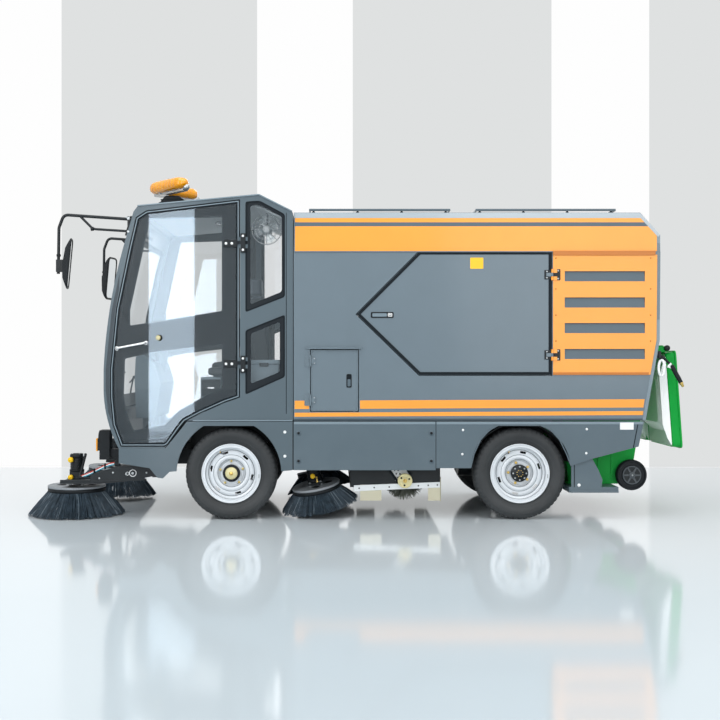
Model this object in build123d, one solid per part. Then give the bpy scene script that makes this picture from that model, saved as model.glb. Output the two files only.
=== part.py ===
"""Compact street sweeper truck: cab, sweeping gear, hopper body and two wheelie bins, one STEP file per piece.

Millimetres.  Every piece is drawn with x measured rearwards from the front axle, y to the right of the driver and
z up from the ground, and save() moves it into the part's own frame, whose origin is the middle of the footprint.
Left is the driver's side, at negative y.
"""

from build123d import *
import math
import os

# ---------------------------------------------------------------- driving sizes
WHEELBASE = 1880.0
TRACK = 1235.0
TYRE_RADIUS = 300.0
TYRE_WIDTH = 175.0
BEAD_RADIUS = 178.0
RIM_FLANGE_RADIUS = 192.0
RIM_WIDTH = 150.0
RIM_WALL = 8.0
STUB_RADIUS = 20.0
RIM_SLOTS = 6
RIM_SLOT = (39.0, 15.0, 136.0)   # long, high, distance from the axle
RIM_TURN = (-12.0, 19.0)         # degrees, front and rear
HUB_PLATE_RADIUS = 120.0
HUB_REACH = 62.0
BODY_HALF = 720.0
SKIRT_HALF = BODY_HALF + 8.0
SKIRT_WALL = 12.0
BODY_WALL = 30.0
CAB_WALL = 40.0
RUN_GAP = 0.3            # running clearance of shafts and pins, and of seated parts
DOOR_GAP = 5.0           # all round every door and hatch
HINGE_PIN_RADIUS = 4.5
HINGE_KNUCKLE_RADIUS = 7.0
HINGE_HALF = 36.0        # half the length of a hinge, and of its moving knuckle
HINGE_MIDDLE_HALF = 12.0

# frame
RAIL_Y = (290.0, 350.0)
RAIL_Z = (480.0, 640.0)
RAIL_FRONT_X = -280.0
RAIL_REAR_X = WHEELBASE + 220.0
NOSE_RAIL_X = (-728.0, -210.0)
NOSE_RAIL_Z = (330.0, 430.0)
CROSS_DEPTH = 60.0
CROSS_X = (342.0, 700.0, 1010.0, 1450.0, WHEELBASE + 160.0)
OUTRIGGER_Z = (600.0, 640.0)
NOSE_CROSS_X = (-500.0, -440.0)
NOSE_CROSS_Z = (380.0, 430.0)
AXLE_HALF = 36.0
SPRING_Y = (225.0, 275.0)
SPRING_HALF = 300.0
SPRING_EYE_Z = 420.0
SPRING_THICK = 30.0

TOW_EYE = (-762.0, 380.0)
TOW_EYE_RADIUS = 14.0
TOW_EYE_THICK = 20.0

# steering
STEER_LOCK = 30.0
KINGPIN_Y = TRACK / 2 - 117.5
REAR_FLANGE_Y = TRACK / 2 - 97.5
KINGPIN_RADIUS = 14.0
KINGPIN_BOSS_RADIUS = 28.0
KINGPIN_BOSS_HALF = 42.0
EAR_THICK = 16.0
ARM_REACH = 180.0
STEER_PIN_RADIUS = 9.0

# cab: side view (x, z)
LEDGE_Z = 646.0
CAB_REAR_X = 403.0
CAB_SILL_Z = 466.0
CAB_TOE = (-728.0, CAB_SILL_Z)
CAB_CHIN = (-808.0, 690.0)
CAB_BELLY_LOW = (-825.0, 845.0)
CAB_BELLY_HIGH = (-825.0, 975.0)
CAB_BROW = (-786.0, 1365.0)
CAB_BROW_TOP = (-702.0, 1755.0)
CAB_VISOR = (-631.0, 2002.0)
CAB_ROOF_FRONT = (-600.0, 2043.0)
CAB_ROOF_PEAK = (182.0, 2115.0)
CAB_ROOF_REAR = (396.0, 2008.0)
FLOOR_FRONT_X = -686.0
FOOTWELL_Z = (438.0, 468.0)
DECK_Z = (640.0, 680.0)
FOOTWELL_REAR = (-429.0, CAB_SILL_Z)
FOOTWELL_SLOPE = (-331.0, 590.0)
LEDGE_FRONT_X = -290.0
GLASS_THICK = 6.0
SCREEN_MARGIN = 55.0
SCREEN_LOW_Z = 700.0
SCREEN_TOP_Z = 1900.0
SCREEN_X = (-900.0, -640.0)
REAR_WINDOW = (480.0, (1180.0, 1860.0))

# cab door, side view (x, z)
DOOR_REAR_X = 55.0
DOOR_OUTLINE = ((-612.0, 1962.0), (-546.0, 2005.0), (55.0, 2076.0), (55.0, 799.0), (-39.0, 767.0),
                (-201.0, 695.0), (-299.0, 643.0), (-331.0, 604.0), (-409.0, 494.0), (-429.0, 481.0),
                (-711.0, 481.0), (-762.0, 620.0), (-779.0, 800.0), (-779.0, 980.0), (-740.0, 1370.0),
                (-660.0, 1755.0))
DOOR_LIP = 22.0
DOOR_THICK = 35.0
DOOR_WINDOW_HIGH = ((-533.0, 1960.0), (-52.0, 1975.0), (-52.0, 1352.0), (-663.0, 1254.0), (-663.0, 1365.0))
DOOR_WINDOW_LOW = ((-696.0, 1053.0), (-520.0, 1092.0), (-52.0, 1144.0), (-52.0, 858.0), (-201.0, 780.0),
                   (-331.0, 708.0), (-429.0, 617.0), (-637.0, 572.0), (-682.0, 682.0), (-705.0, 800.0))
DOOR_HINGE = (62.0, BODY_HALF + 8.0)     # upright pins, outside the skin
DOOR_HINGE_Z = (1020.0, 1800.0)
DOOR_LEAVES = (-45.0, 110.0)   # where the moving and the fixed leaf end
DOOR_LEAF_FOOT = (36.0, 53.0)
DOOR_OPEN = 75.0

# quarter windows behind the door, side view (x, z): opening
QUARTER_HIGH = ((100.0, 2062.0), (186.0, 2068.0), (346.0, 1982.0), (346.0, 1452.0), (100.0, 1356.0))
QUARTER_LOW = ((100.0, 1228.0), (346.0, 1326.0), (346.0, 932.0), (100.0, 822.0))

APRON_X = (-740.0, -728.0)
APRON_HALF = BODY_HALF - 120.0
APRON_Z = (372.0, 460.0)
APRON_NOTCH = 24.0

# cab fittings
SEAT_HALF = 240.0
SEAT_PLINTH = ((-237.0, 190.0), (DECK_Z[1], 921.0))
SEAT_CUSHION = ((-167.0, 235.0), (921.0, 1025.0))
SEAT_WAIST = (262.0, 1270.0)
SEAT_BACK_TOP = (180.0, 1490.0)
SEAT_BACK_THICK = 112.0
HEADREST = ((62.0, 169.0), (-130.0, 130.0), (1480.0, 1613.0))
DASH_HALF = BODY_HALF - 420.0
WHEEL_CENTRE = (-520.0, 1240.0)
WHEEL_RADIUS = 190.0
WHEEL_TUBE = 14.0
BEACON_APEX_X = -640.0
BEACON_TIP_X = -330.0
BEACON_HALF = 300.0
BEACON_WIDTH = 110.0
BEACON_BASE_Z = (2196.0, 2218.0)
BEACON_TOP_Z = 2304.0
BEACON_ROUND = 24.0
BEACON_FOOT = ((-590.0, -350.0), 110.0)
MIRROR_Y = BODY_HALF - 55.0
MIRROR_ARM_Y = BODY_HALF - 30.0
MIRROR_TUBE = 10.0
MIRROR_BRACKET_Z = (1850.0, 1975.0)
MIRROR_HALF = 90.0
MIRROR_GLASS = ((-1046.0, 1836.0), (-1076.0, 1500.0))
MIRROR_BACK = ((-1082.0, 1765.0), (-1102.0, 1655.0), (-1100.0, 1570.0))
MIRROR_TURN = 10.0        # degrees: the heads look inwards
LAMP_BOX = ((-876.0, -810.0), (510.0, 610.0), (382.0, 575.0))
LAMP_STEM = ((-810.0, -740.0), (530.0, 590.0), (400.0, 450.0))
MARKER_BOX = ((-893.0, -876.0), (530.0, 590.0), (440.0, 520.0))
TAIL_LAMP = ((WHEELBASE + 760.0, WHEELBASE + 810.0), (640.0, 690.0), (720.0, 900.0))

# body, side view (x, z)
BODY_FRONT_X = 408.0
BODY_ROOF_Z = 1998.0
BODY_ROOF_REAR_X = WHEELBASE + 780.0
BODY_REAR_TOP = (WHEELBASE + 908.0, 1852.0)
BODY_REAR_MID = (WHEELBASE + 902.0, 1170.0)
BODY_REAR_LOW = (WHEELBASE + 810.0, LEDGE_Z)
BODY_TOE = (WHEELBASE + 759.0, 403.0)
BODY_SHOULDER_Z = 1742.0
BODY_SHOULDER_STEP = 5.0
BODY_SHOULDER_LEAN = 20.0
BIN_BAY_X = WHEELBASE + 200.0
SIDE_DOOR = ((WHEELBASE + 200.0, 1742.0), (1222.0, 1742.0), (816.0, 1336.0), (1222.0, 942.0),
             (WHEELBASE + 200.0, 942.0))
SIDE_DOOR_HINGE = (WHEELBASE + 203.0, BODY_HALF + 11.0)
SIDE_DOOR_HINGE_Z = (1072.0, 1592.0)
SIDE_DOOR_LEAVES = (WHEELBASE + 165.0, WHEELBASE + 235.0)
SIDE_DOOR_OPEN = 110.0
HATCH_HINGE = (516.0, BODY_HALF + 7.0)
HATCH_HINGE_Z = (779.0, 1033.0)
HATCH_LEAVES = (545.0, 485.0)
REAR_HATCH_HINGE = (WHEELBASE + 780.0, 1992.0)
REAR_HATCH_HINGE_Y = (-450.0, 450.0)
REAR_HATCH_OPEN = 85.0
HATCH = ((520.0, 1104.0), (826.0, 1104.0), (826.0, 708.0), (520.0, 708.0))
BIN_BAY_WINDOW = ((WHEELBASE + 240.0, WHEELBASE + 820.0), (1030.0, 1640.0))
LOUVRE_Z = (942.0, 1742.0)
LOUVRE_REAR_X = WHEELBASE + 865.0
LOUVRE_SLOT_X = (WHEELBASE + 285.0, WHEELBASE + 805.0)
LOUVRE_SLOT_Z = (1582.0, 1412.0, 1246.0, 1078.0)
LOUVRE_SLOT_HEIGHT = 66.0
LOUVRE_THICK = 4.0
SLAT_DEPTH = 14.0
ROOF_COVERS = ((508.0, 1424.0), (1586.0, 2490.0))
ROOF_COVER_HEIGHT = 22.0
ROOF_COVER_HALF = BODY_HALF - 200.0

# skirts, side view
SKIRT_LOW_Z = 338.0
MID_SKIRT_REAR_X = 1330.0
FRONT_ARCH_X = (-352.0, 328.0)
FRONT_ARCH_TOP_Z = 612.0
FRONT_ARCH_FLAT_X = (-175.0, 150.0)
REAR_ARCH_X = (WHEELBASE - 322.0, WHEELBASE + 322.0)
REAR_ARCH_TOP_Z = 612.0
REAR_ARCH_FLAT_X = (WHEELBASE - 145.0, WHEELBASE + 125.0)

# bins and their platform
PLATFORM_X = (WHEELBASE + 316.0, WHEELBASE + 636.0)
PLATFORM_Z = (178.0, 214.0)
PLATFORM_INNER = (WHEELBASE + 220.0, 500.0)
PLATFORM_CHEEK = 12.0
BIN_HALF_LOW = 225.0
BIN_HALF_HIGH = 284.0
BIN_Y = 300.0
BIN_WALL = 6.0
BIN_RIM = (1076.0, 10.0)
BIN_FOOT_Z = 214.0
BIN_RIM_Z = 1120.0
BIN_FRONT_LOW_X = WHEELBASE + 352.0
BIN_FRONT_HIGH_X = WHEELBASE + 260.0
BIN_REAR_LOW_X = WHEELBASE + 762.0
BIN_REAR_HIGH_X = WHEELBASE + 890.0
BIN_WHEEL = (WHEELBASE + 758.0, 278.0)
BIN_WHEEL_RADIUS = 100.0
BIN_WHEEL_Y = (243.0, 291.0)
BIN_AXLE_RADIUS = 10.0
BIN_AXLE_LUGS = (150.0, 12.0)
BIN_NOTCH = 34.0          # room round the axle under the bin
BIN_HINGE = (WHEELBASE + 1000.0, 1118.0)
BIN_HINGE_RADIUS = 12.0
BIN_LUGS = ((-250.0, -226.0), (-12.0, 12.0), (226.0, 250.0))
LID_HALF = 262.0
LID_LENGTH = 665.0
LID_TOP = 26.0
LID_RIM = (-13.0, 55.0)
LID_DOME = (-72.0, 190.0, 500.0)
LID_WALL = 6.0
LID_LEAN = 4.0            # degrees from plumb as it hangs
LID_OPEN = 150.0
LID_BARRELS = ((-140.0, -60.0), (60.0, 140.0))

# washing lance
GUN_Y = 15.0 - BODY_HALF
GUN_FLANGE_Z = (1054.0, 1094.0)
GUN_ELBOW = (WHEELBASE + 935.0, 1050.0)
GUN_PATH = ((WHEELBASE + 984.0, 1002.0), (WHEELBASE + 1044.0, 893.0), (WHEELBASE + 1055.0, 873.0))
GUN_PIPE = 8.0
GUN_GRIP = 14.0

# sweeping gear
SIDE_BRUSH = (-1069.0, -420.0)
SIDE_BRUSH_RADIUS = 325.0
SIDE_DISC_RADIUS = 190.0
SIDE_DISC_Z = (150.0, 195.0)
SIDE_ARM_PIVOT = (-484.0, 307.0)
SIDE_ARM_Y = (BODY_HALF - 98.0, BODY_HALF - 80.0)
SIDE_ARM_CHEEKS = ((BODY_HALF - 120.0, BODY_HALF - 106.0), (BODY_HALF - 72.0, BODY_HALF - 58.0))
SIDE_PIN_RADIUS = 12.0
SIDE_ARM_LIFT = 15.0
SIDE_DECK_Z = (226.0, 238.0)
SIDE_DECK_BACK = 169.0
SIDE_GEARBOX_Z = 287.0
SIDE_MOTOR_Z = 405.0
BRUSH_SHAFT = 14.0
RIGHT_BRUSH_LIFT = 4.5   # degrees: the right brush is parked raised
RIGHT_BRUSH_BACK = 92.0   # and its arm is this much shorter
MID_BRUSH = (582.0, -450.0)
MID_BRUSH_RADIUS = 265.0
MID_DISC_RADIUS = 160.0
MID_DISC_Z = (105.0, 150.0)
MID_BRUSH_TILT = 13.0     # degrees, and the way it leans: forwards and this much outwards
MID_BRUSH_HEADING = 32.0
MID_MOUNT_Z = (160.0, 172.0)
MID_HANGER_Z = 234.0
MID_MOTOR_Z = 285.0
ROLLER = (1136.0, 245.0)
ROLLER_RADIUS = 138.0
ROLLER_HALF = 575.0
ROLLER_SHAFT = 16.0
PULLEY = (48.0, 612.0, 636.0)
HOUSING_X = (776.0, 1370.0)
HOUSING_Z = (200.0, 400.0)
HOUSING_HALF = 600.0
HOUSING_WALL = 8.0
HANGER_X = ((800.0, 840.0), (1310.0, 1350.0))
SIDE_RUBBER_X = ((842.0, 982.0), (1290.0, 1368.0))
SIDE_RUBBER_Z = (112.0, 216.0)
RUBBER_THICK = 6.0
REAR_RUBBER_Z = (105.0, 262.0)
BATTERY = ((930.0, 1750.0), 290.0, 330.0)

# where the middle of the footprint is: between the side brush's front reach and the open lid's rear reach
FRONT_REACH_X = SIDE_BRUSH[0] - SIDE_BRUSH_RADIUS
LEAN = math.radians(LID_LEAN)
REAR_REACH_X = BIN_HINGE[0] + LID_RIM[1] * math.cos(LEAN) + LID_LENGTH * math.sin(LEAN)
FRONT_AXLE_X = -(FRONT_REACH_X + REAR_REACH_X) / 2

PARTS = "parts"


# ---------------------------------------------------------------- helpers
def block(x, y, z):
    """A box between pairs of limits."""
    return Solid.make_box(x[1] - x[0], y[1] - y[0], z[1] - z[0], Plane(origin=(x[0], y[0], z[0])))


def outline(*steps):
    """Closed face in the side plane.  (x, z) ends a straight run; (mid x, mid z, x, z) ends an arc."""
    edges = []
    here = steps[0]
    for step in steps[1:] + steps[:1]:
        start, end = (here[-2], 0, here[-1]), (step[-2], 0, step[-1])
        if len(step) == 4:
            edges.append(Edge.make_three_point_arc(start, (step[0], 0, step[1]), end))
        else:
            edges.append(Edge.make_line(start, end))
        here = step
    return Face(Wire(edges))


def rounded(points, radius):
    """Closed face in the side plane through corner points, with round corners."""
    line = FilletPolyline(*[(x, 0, z) for x, z in points], radius=radius, close=True)
    return Face(line.wire())


def inset(face, distance):
    """The same face with its edge moved inwards, or outwards for a negative distance."""
    return offset(face, -distance, kind=Kind.INTERSECTION).faces()[0]


def slab(face, y0, y1):
    """A side-plane face as a plate between two widths."""
    return Solid.extrude(face.moved(Location((0, y0, 0))), Vector(0, y1 - y0, 0))


def rod(start, end, radius):
    """A round bar between two points."""
    start, end = Vector(*start), Vector(*end)
    return Solid.make_cylinder(radius, (end - start).length, Plane(origin=start, z_dir=end - start))


def turned(profile, origin, axis):
    """A revolved solid: profile points are (radius, distance along the axis)."""
    face = Face(Wire.make_polygon([(r, 0, h) for r, h in profile]))
    solid = Solid.revolve(face, 360, Axis.Z)
    return solid.moved(Plane(origin=origin, z_dir=axis).location)


def other_side(shape):
    """The piece's mirror image on the driver's other side."""
    return shape.mirror(Plane.XZ)


def joined(*solids):
    """One solid from solids that overlap or touch."""
    return solids[0].fuse(*solids[1:]).clean() if len(solids) > 1 else solids[0]


def hinge(pin, z, leaves, skins):
    """Moving and fixed half of an upright hinge on the left side, each with its leaf down to its skin."""
    (x, y), (moving_reach, fixed_reach), (moving_skin, fixed_skin) = pin, leaves, skins
    fixed = [rod((x, -y, z - HINGE_HALF), (x, -y, z + HINGE_HALF), HINGE_PIN_RADIUS)]
    for low, high in ((-HINGE_HALF, -HINGE_MIDDLE_HALF), (HINGE_MIDDLE_HALF, HINGE_HALF)):
        fixed.append(rod((x, -y, z + low), (x, -y, z + high), HINGE_KNUCKLE_RADIUS))
        fixed.append(block(sorted((x, fixed_reach)), (-y, -fixed_skin), (z + low, z + high)))
    half = HINGE_MIDDLE_HALF - RUN_GAP
    start = x + math.copysign(3, moving_reach - x)
    leaf = block(sorted((start, moving_reach)), (-y, -moving_skin), (z - half, z + half))
    knuckle_ = rod((x, -y, z - half), (x, -y, z + half), HINGE_KNUCKLE_RADIUS)
    bore = rod((x, -y, z - HINGE_HALF), (x, -y, z + HINGE_HALF), HINGE_PIN_RADIUS + RUN_GAP)
    return joined(leaf, knuckle_).cut(bore), joined(*fixed)


def hinge_halves(pin, heights, leaves, skins):
    """The moving halves and the fixed halves of a left door's hinges."""
    pairs = [hinge(pin, z, leaves, skins) for z in heights]
    return [moving for moving, _ in pairs], [fixed for _, fixed in pairs]


def save(name, *shapes):
    """Write one node, moved from the front axle's frame to the part's own."""
    solids = [s for shape in shapes for s in shape.solids()]
    node = Compound(solids) if len(solids) > 1 else solids[0]
    export_step(node.moved(Location((FRONT_AXLE_X, 0, 0))), f"{PARTS}/{name}.step")


# ---------------------------------------------------------------- chassis
def frame_rails():
    """Two rails with a low nose, cross members, and outriggers that carry the skirts."""
    reach = SKIRT_HALF - SKIRT_WALL
    pieces = [block(NOSE_CROSS_X, (-reach, reach), NOSE_CROSS_Z),
              block((NOSE_RAIL_X[0], NOSE_RAIL_X[0] + CROSS_DEPTH), (-RAIL_Y[1], RAIL_Y[1]), NOSE_RAIL_Z)]
    for side in (-1, 1):
        y = sorted(side * v for v in RAIL_Y)
        pieces.append(block((RAIL_FRONT_X, RAIL_REAR_X), y, RAIL_Z))
        pieces.append(block(NOSE_RAIL_X, y, NOSE_RAIL_Z))
        pieces.append(block((RAIL_FRONT_X, NOSE_RAIL_X[1]), y, (NOSE_RAIL_Z[0], RAIL_Z[1])))
        pieces.append(block((RAIL_REAR_X - 20, RAIL_REAR_X), y, (PLATFORM_Z[0], RAIL_Z[1])))
        for cheek in SIDE_ARM_CHEEKS:
            y = sorted(side * v for v in cheek)
            pieces.append(block((SIDE_ARM_PIVOT[0] - 35, SIDE_ARM_PIVOT[0] + 35), y,
                                (SIDE_ARM_PIVOT[1] - 35, NOSE_CROSS_Z[0])))
        pieces.append(rod((SIDE_ARM_PIVOT[0], side * SIDE_ARM_CHEEKS[0][0], SIDE_ARM_PIVOT[1]),
                          (SIDE_ARM_PIVOT[0], side * SIDE_ARM_CHEEKS[1][1], SIDE_ARM_PIVOT[1]), SIDE_PIN_RADIUS))
    for x in CROSS_X:
        pieces.append(block((x, x + CROSS_DEPTH), (-reach, reach), OUTRIGGER_Z))
        pieces.append(block((x, x + CROSS_DEPTH), (-RAIL_Y[1], RAIL_Y[1]), (RAIL_Z[0] + 20, RAIL_Z[1])))
    eye_x, eye_z = TOW_EYE
    half = TOW_EYE_THICK / 2
    pieces.append(block((eye_x, NOSE_RAIL_X[0]), (-half, half), (eye_z - 30, eye_z + 30)))
    pieces.append(rod((eye_x, -half, eye_z), (eye_x, half, eye_z), 30))
    return joined(*pieces).cut(rod((eye_x, -half, eye_z), (eye_x, half, eye_z), TOW_EYE_RADIUS))


def leaf_spring(x, side):
    """A leaf from eye to eye, bowed down to the axle, with its two hangers bolted inside the rail."""
    low = TYRE_RADIUS + AXLE_HALF + RUN_GAP
    y = sorted(side * v for v in SPRING_Y)
    eye, top = SPRING_EYE_Z, SPRING_EYE_Z + SPRING_THICK
    leaf = slab(outline((x - SPRING_HALF, eye), (x, low, x + SPRING_HALF, eye), (x + SPRING_HALF, top),
                        (x, low + SPRING_THICK, x - SPRING_HALF, top)), *y)
    hanger_y = sorted((side * SPRING_Y[0], side * RAIL_Y[0]))
    hangers = [block((x + end - 18, x + end + 18), hanger_y, (eye, RAIL_Z[0] + 60))
               for end in (-SPRING_HALF, SPRING_HALF)]
    return joined(leaf, *hangers)


def front_axle():
    """A beam between two kingpin bosses."""
    z = TYRE_RADIUS
    beam = block((-AXLE_HALF, AXLE_HALF), (-KINGPIN_Y, KINGPIN_Y), (z - AXLE_HALF, z + AXLE_HALF))
    ends = []
    bores = []
    for side in (-1, 1):
        low = (0, side * KINGPIN_Y, z - KINGPIN_BOSS_HALF)
        high = (0, side * KINGPIN_Y, z + KINGPIN_BOSS_HALF)
        ends.append(rod(low, high, KINGPIN_BOSS_RADIUS))
        bores.append(rod(low, high, KINGPIN_RADIUS + RUN_GAP))
    body = joined(beam.cut(*[rod((0, s * KINGPIN_Y, 0), (0, s * KINGPIN_Y, 2 * z), KINGPIN_BOSS_RADIUS)
                             for s in (-1, 1)]).solids().sort_by(SortBy.VOLUME)[-1], *ends)
    for bore in bores:
        body = body.cut(bore)
    return body


def knuckle():
    """Left knuckle: two ears on the kingpin, a backing plate, the stub axle and the steering arm."""
    z = TYRE_RADIUS
    ear_z = KINGPIN_BOSS_HALF + 1
    ears = []
    for low in (z - ear_z - EAR_THICK, z + ear_z):
        ears.append(rod((0, -KINGPIN_Y, low), (0, -KINGPIN_Y, low + EAR_THICK), KINGPIN_BOSS_RADIUS))
        ears.append(block((-KINGPIN_BOSS_RADIUS, KINGPIN_BOSS_RADIUS), (-KINGPIN_Y - 42, -KINGPIN_Y),
                          (low, low + EAR_THICK)))
    span = ear_z + EAR_THICK
    web = block((-KINGPIN_BOSS_RADIUS, KINGPIN_BOSS_RADIUS), (-KINGPIN_Y - 42, -KINGPIN_Y - 30),
                (z - span, z + span))
    plate = rod((0, -KINGPIN_Y - 42, z), (0, -KINGPIN_Y - 50, z), HUB_PLATE_RADIUS)
    stub = rod((0, -KINGPIN_Y - 30, z), (0, -TRACK / 2 - HUB_REACH, z), STUB_RADIUS)
    pin = rod((0, -KINGPIN_Y, z - span), (0, -KINGPIN_Y, z + span), KINGPIN_RADIUS)
    arm_z = z - span
    arm = Solid.extrude(Face(Wire.make_polygon([
        (0, -KINGPIN_Y + 26, arm_z), (0, -KINGPIN_Y - 10, arm_z),
        (-ARM_REACH, -KINGPIN_Y - 18, arm_z), (-ARM_REACH - 18, -KINGPIN_Y, arm_z),
        (-ARM_REACH, -KINGPIN_Y + 18, arm_z)])), Vector(0, 0, EAR_THICK))
    ball = rod((-ARM_REACH, -KINGPIN_Y, arm_z - 24), (-ARM_REACH, -KINGPIN_Y, arm_z), STEER_PIN_RADIUS)
    return joined(*ears, web, plate, stub, pin, arm, ball)


def tie_rod():
    """A bar between the steering arms, with an eye round each arm's pin."""
    z = TYRE_RADIUS - KINGPIN_BOSS_HALF - 1 - EAR_THICK - 13
    bar = rod((-ARM_REACH, -KINGPIN_Y, z), (-ARM_REACH, KINGPIN_Y, z), 11)
    eyes = [rod((-ARM_REACH, s * KINGPIN_Y, z - 14), (-ARM_REACH, s * KINGPIN_Y, z + 12.5), 20) for s in (-1, 1)]
    body = joined(bar, *eyes)
    for s in (-1, 1):
        body = body.cut(rod((-ARM_REACH, s * KINGPIN_Y, z - 15), (-ARM_REACH, s * KINGPIN_Y, z + 14),
                            STEER_PIN_RADIUS + RUN_GAP))
    return body


def rear_axle():
    """Axle tube with drive housing, traction motor, and a stub at each end."""
    x, z = WHEELBASE, TYRE_RADIUS
    flange = REAR_FLANGE_Y
    tube = rod((x, -flange, z), (x, flange, z), AXLE_HALF)
    housing = turned([(0, -130), (60, -130), (125, -50), (125, 50), (60, 130), (0, 130)], (x, 0, z), (0, 1, 0))
    motor = rod((x - 330, 0, z), (x, 0, z), 88)
    plates = [rod((x, s * flange, z), (x, s * (flange + 20), z), HUB_PLATE_RADIUS) for s in (-1, 1)]
    stubs = [rod((x, s * (flange + 20), z), (x, s * (TRACK / 2 + HUB_REACH), z), STUB_RADIUS) for s in (-1, 1)]
    return joined(tube, housing, motor, *plates, *stubs)


# ---------------------------------------------------------------- wheels
TYRE_HALF_SECTION = ((BEAD_RADIUS, 0.36), (196.0, 0.385), (224.0, 0.48), (250.0, 0.5), (289.0, 0.42),
                     (TYRE_RADIUS, 0.30))


def tyre(x, side):
    """Tyre without its tread: (radius, share of the width) turned about the wheel's axis."""
    half = [(r, share * TYRE_WIDTH) for r, share in TYRE_HALF_SECTION]
    profile = [(r, -h) for r, h in half] + half[::-1]
    return turned(profile, (x, side * TRACK / 2, TYRE_RADIUS), (0, side, 0))


def rim(x, side, turn):
    """Pressed steel rim: barrel with flanges, dished disc with six hand slots, hub with its bore."""
    half = RIM_WIDTH / 2
    barrel = [(BEAD_RADIUS - RIM_WALL, -half), (RIM_FLANGE_RADIUS, -half), (RIM_FLANGE_RADIUS, -half + 4),
              (BEAD_RADIUS - RUN_GAP, -half + 4), (BEAD_RADIUS - RUN_GAP, half - 4),
              (RIM_FLANGE_RADIUS, half - 4), (RIM_FLANGE_RADIUS, half), (BEAD_RADIUS - RIM_WALL, half)]
    disc = [(STUB_RADIUS + RUN_GAP, 20), (80, 20), (95, 36), (135, 36), (BEAD_RADIUS - RIM_WALL + 2, 22),
            (BEAD_RADIUS - RIM_WALL + 2, 30), (137, 44), (92, 44), (76, 28), (44, 28), (44, HUB_REACH),
            (STUB_RADIUS + RUN_GAP, HUB_REACH)]
    origin, axis = (x, side * TRACK / 2, TYRE_RADIUS), (0, side, 0)
    body = joined(turned(barrel, origin, axis), turned(disc, origin, axis))
    slots = []
    long, high, out = RIM_SLOT
    for i in range(RIM_SLOTS):
        slot = Solid.make_box(long, high, 60, Plane(origin=(-long / 2, out - high / 2, 10)))
        slot = slot.rotate(Axis.Z, 360 / RIM_SLOTS * i + turn)
        slots.append(slot.moved(Plane(origin=origin, z_dir=axis).location))
    return body.cut(*slots)


# ---------------------------------------------------------------- cab
def cab_outline():
    """Outer side view of the cab above its skirts."""
    return outline(CAB_TOE, (*CAB_CHIN, *CAB_BELLY_LOW), CAB_BELLY_HIGH, (*CAB_BROW, *CAB_BROW_TOP), CAB_VISOR,
                   CAB_ROOF_FRONT, CAB_ROOF_PEAK, CAB_ROOF_REAR, (CAB_REAR_X, 1990.0), (CAB_REAR_X, LEDGE_Z),
                   (LEDGE_FRONT_X, LEDGE_Z), FOOTWELL_SLOPE, FOOTWELL_REAR)


def windscreen_span():
    """The box that cuts the windscreen's share out of the cab's front."""
    half = BODY_HALF - SCREEN_MARGIN
    return block(SCREEN_X, (-half, half), (SCREEN_LOW_Z, SCREEN_TOP_Z))


def cab_frame():
    """Pillars, roof, rear wall and nose of the cab: a hollow shell with every window and door opening cut."""
    face = cab_outline()
    outer = slab(face, -BODY_HALF, BODY_HALF)
    inner = slab(inset(face, CAB_WALL), -BODY_HALF + CAB_WALL, BODY_HALF - CAB_WALL)
    below = block((FLOOR_FRONT_X, CAB_REAR_X - CAB_WALL), (-BODY_HALF + CAB_WALL, BODY_HALF - CAB_WALL),
                  (CAB_SILL_Z - 10, LEDGE_Z + 100))
    shell = outer.cut(inner, below)
    door = slab(inset(door_face(), -DOOR_GAP), -BODY_HALF - 1, BODY_HALF + 1)
    quarters = [slab(rounded(q, 12), -BODY_HALF - 1, BODY_HALF + 1) for q in (QUARTER_HIGH, QUARTER_LOW)]
    window, window_z = REAR_WINDOW
    rear_window = block((CAB_REAR_X - 60, CAB_REAR_X + 20), (-window, window), window_z)
    shell = shell.cut(door, *quarters, windscreen_span(), rear_window).solids().sort_by(SortBy.VOLUME)[-1]
    fixed = cab_door_hinges()[1]
    return joined(shell, *fixed, *[other_side(half) for half in fixed])


def cab_glass():
    """Curved windscreen, quarter windows and rear window."""
    face = cab_outline()
    outer = slab(inset(face, 4), -BODY_HALF + SCREEN_MARGIN + 1, BODY_HALF - SCREEN_MARGIN - 1)
    inner = slab(inset(face, 4 + GLASS_THICK), -BODY_HALF, BODY_HALF)
    half = BODY_HALF - SCREEN_MARGIN - RUN_GAP
    pane = block((SCREEN_X[0], SCREEN_X[1] - RUN_GAP), (-half, half), (SCREEN_LOW_Z + RUN_GAP, SCREEN_TOP_Z - RUN_GAP))
    screen = (outer.cut(inner) & pane).solids().sort_by(SortBy.VOLUME)[-1]
    panes = [screen]
    y = BODY_HALF - 4
    for points in (QUARTER_HIGH, QUARTER_LOW):
        face = inset(rounded(points, 12), RUN_GAP)
        panes.append(slab(face, -y, -y + GLASS_THICK))
        panes.append(slab(face, y - GLASS_THICK, y))
    window, (low, high) = REAR_WINDOW
    panes.append(block((CAB_REAR_X - 20, CAB_REAR_X - 20 + GLASS_THICK), (-window + RUN_GAP, window - RUN_GAP),
                       (low + RUN_GAP, high - RUN_GAP)))
    return panes


def cab_floor():
    """Stepped floor: footwell, slope over the wheels and the seat deck, inside the walls."""
    half = BODY_HALF - CAB_WALL - RUN_GAP
    rear = CAB_REAR_X - CAB_WALL - RUN_GAP
    front = FLOOR_FRONT_X + RUN_GAP
    (low, high), (deck_low, deck_high) = FOOTWELL_Z, DECK_Z
    floor = outline((front, low), (-395, low), (-300, deck_low), (rear, deck_low), (rear, deck_high),
                    (-320, deck_high), (-412, high), (front, high))
    return slab(floor, -half, half)


def door_face():
    """Outer edge of the cab door."""
    return Face(Wire.make_polygon([(x, 0, z) for x, z in DOOR_OUTLINE]))


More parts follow.
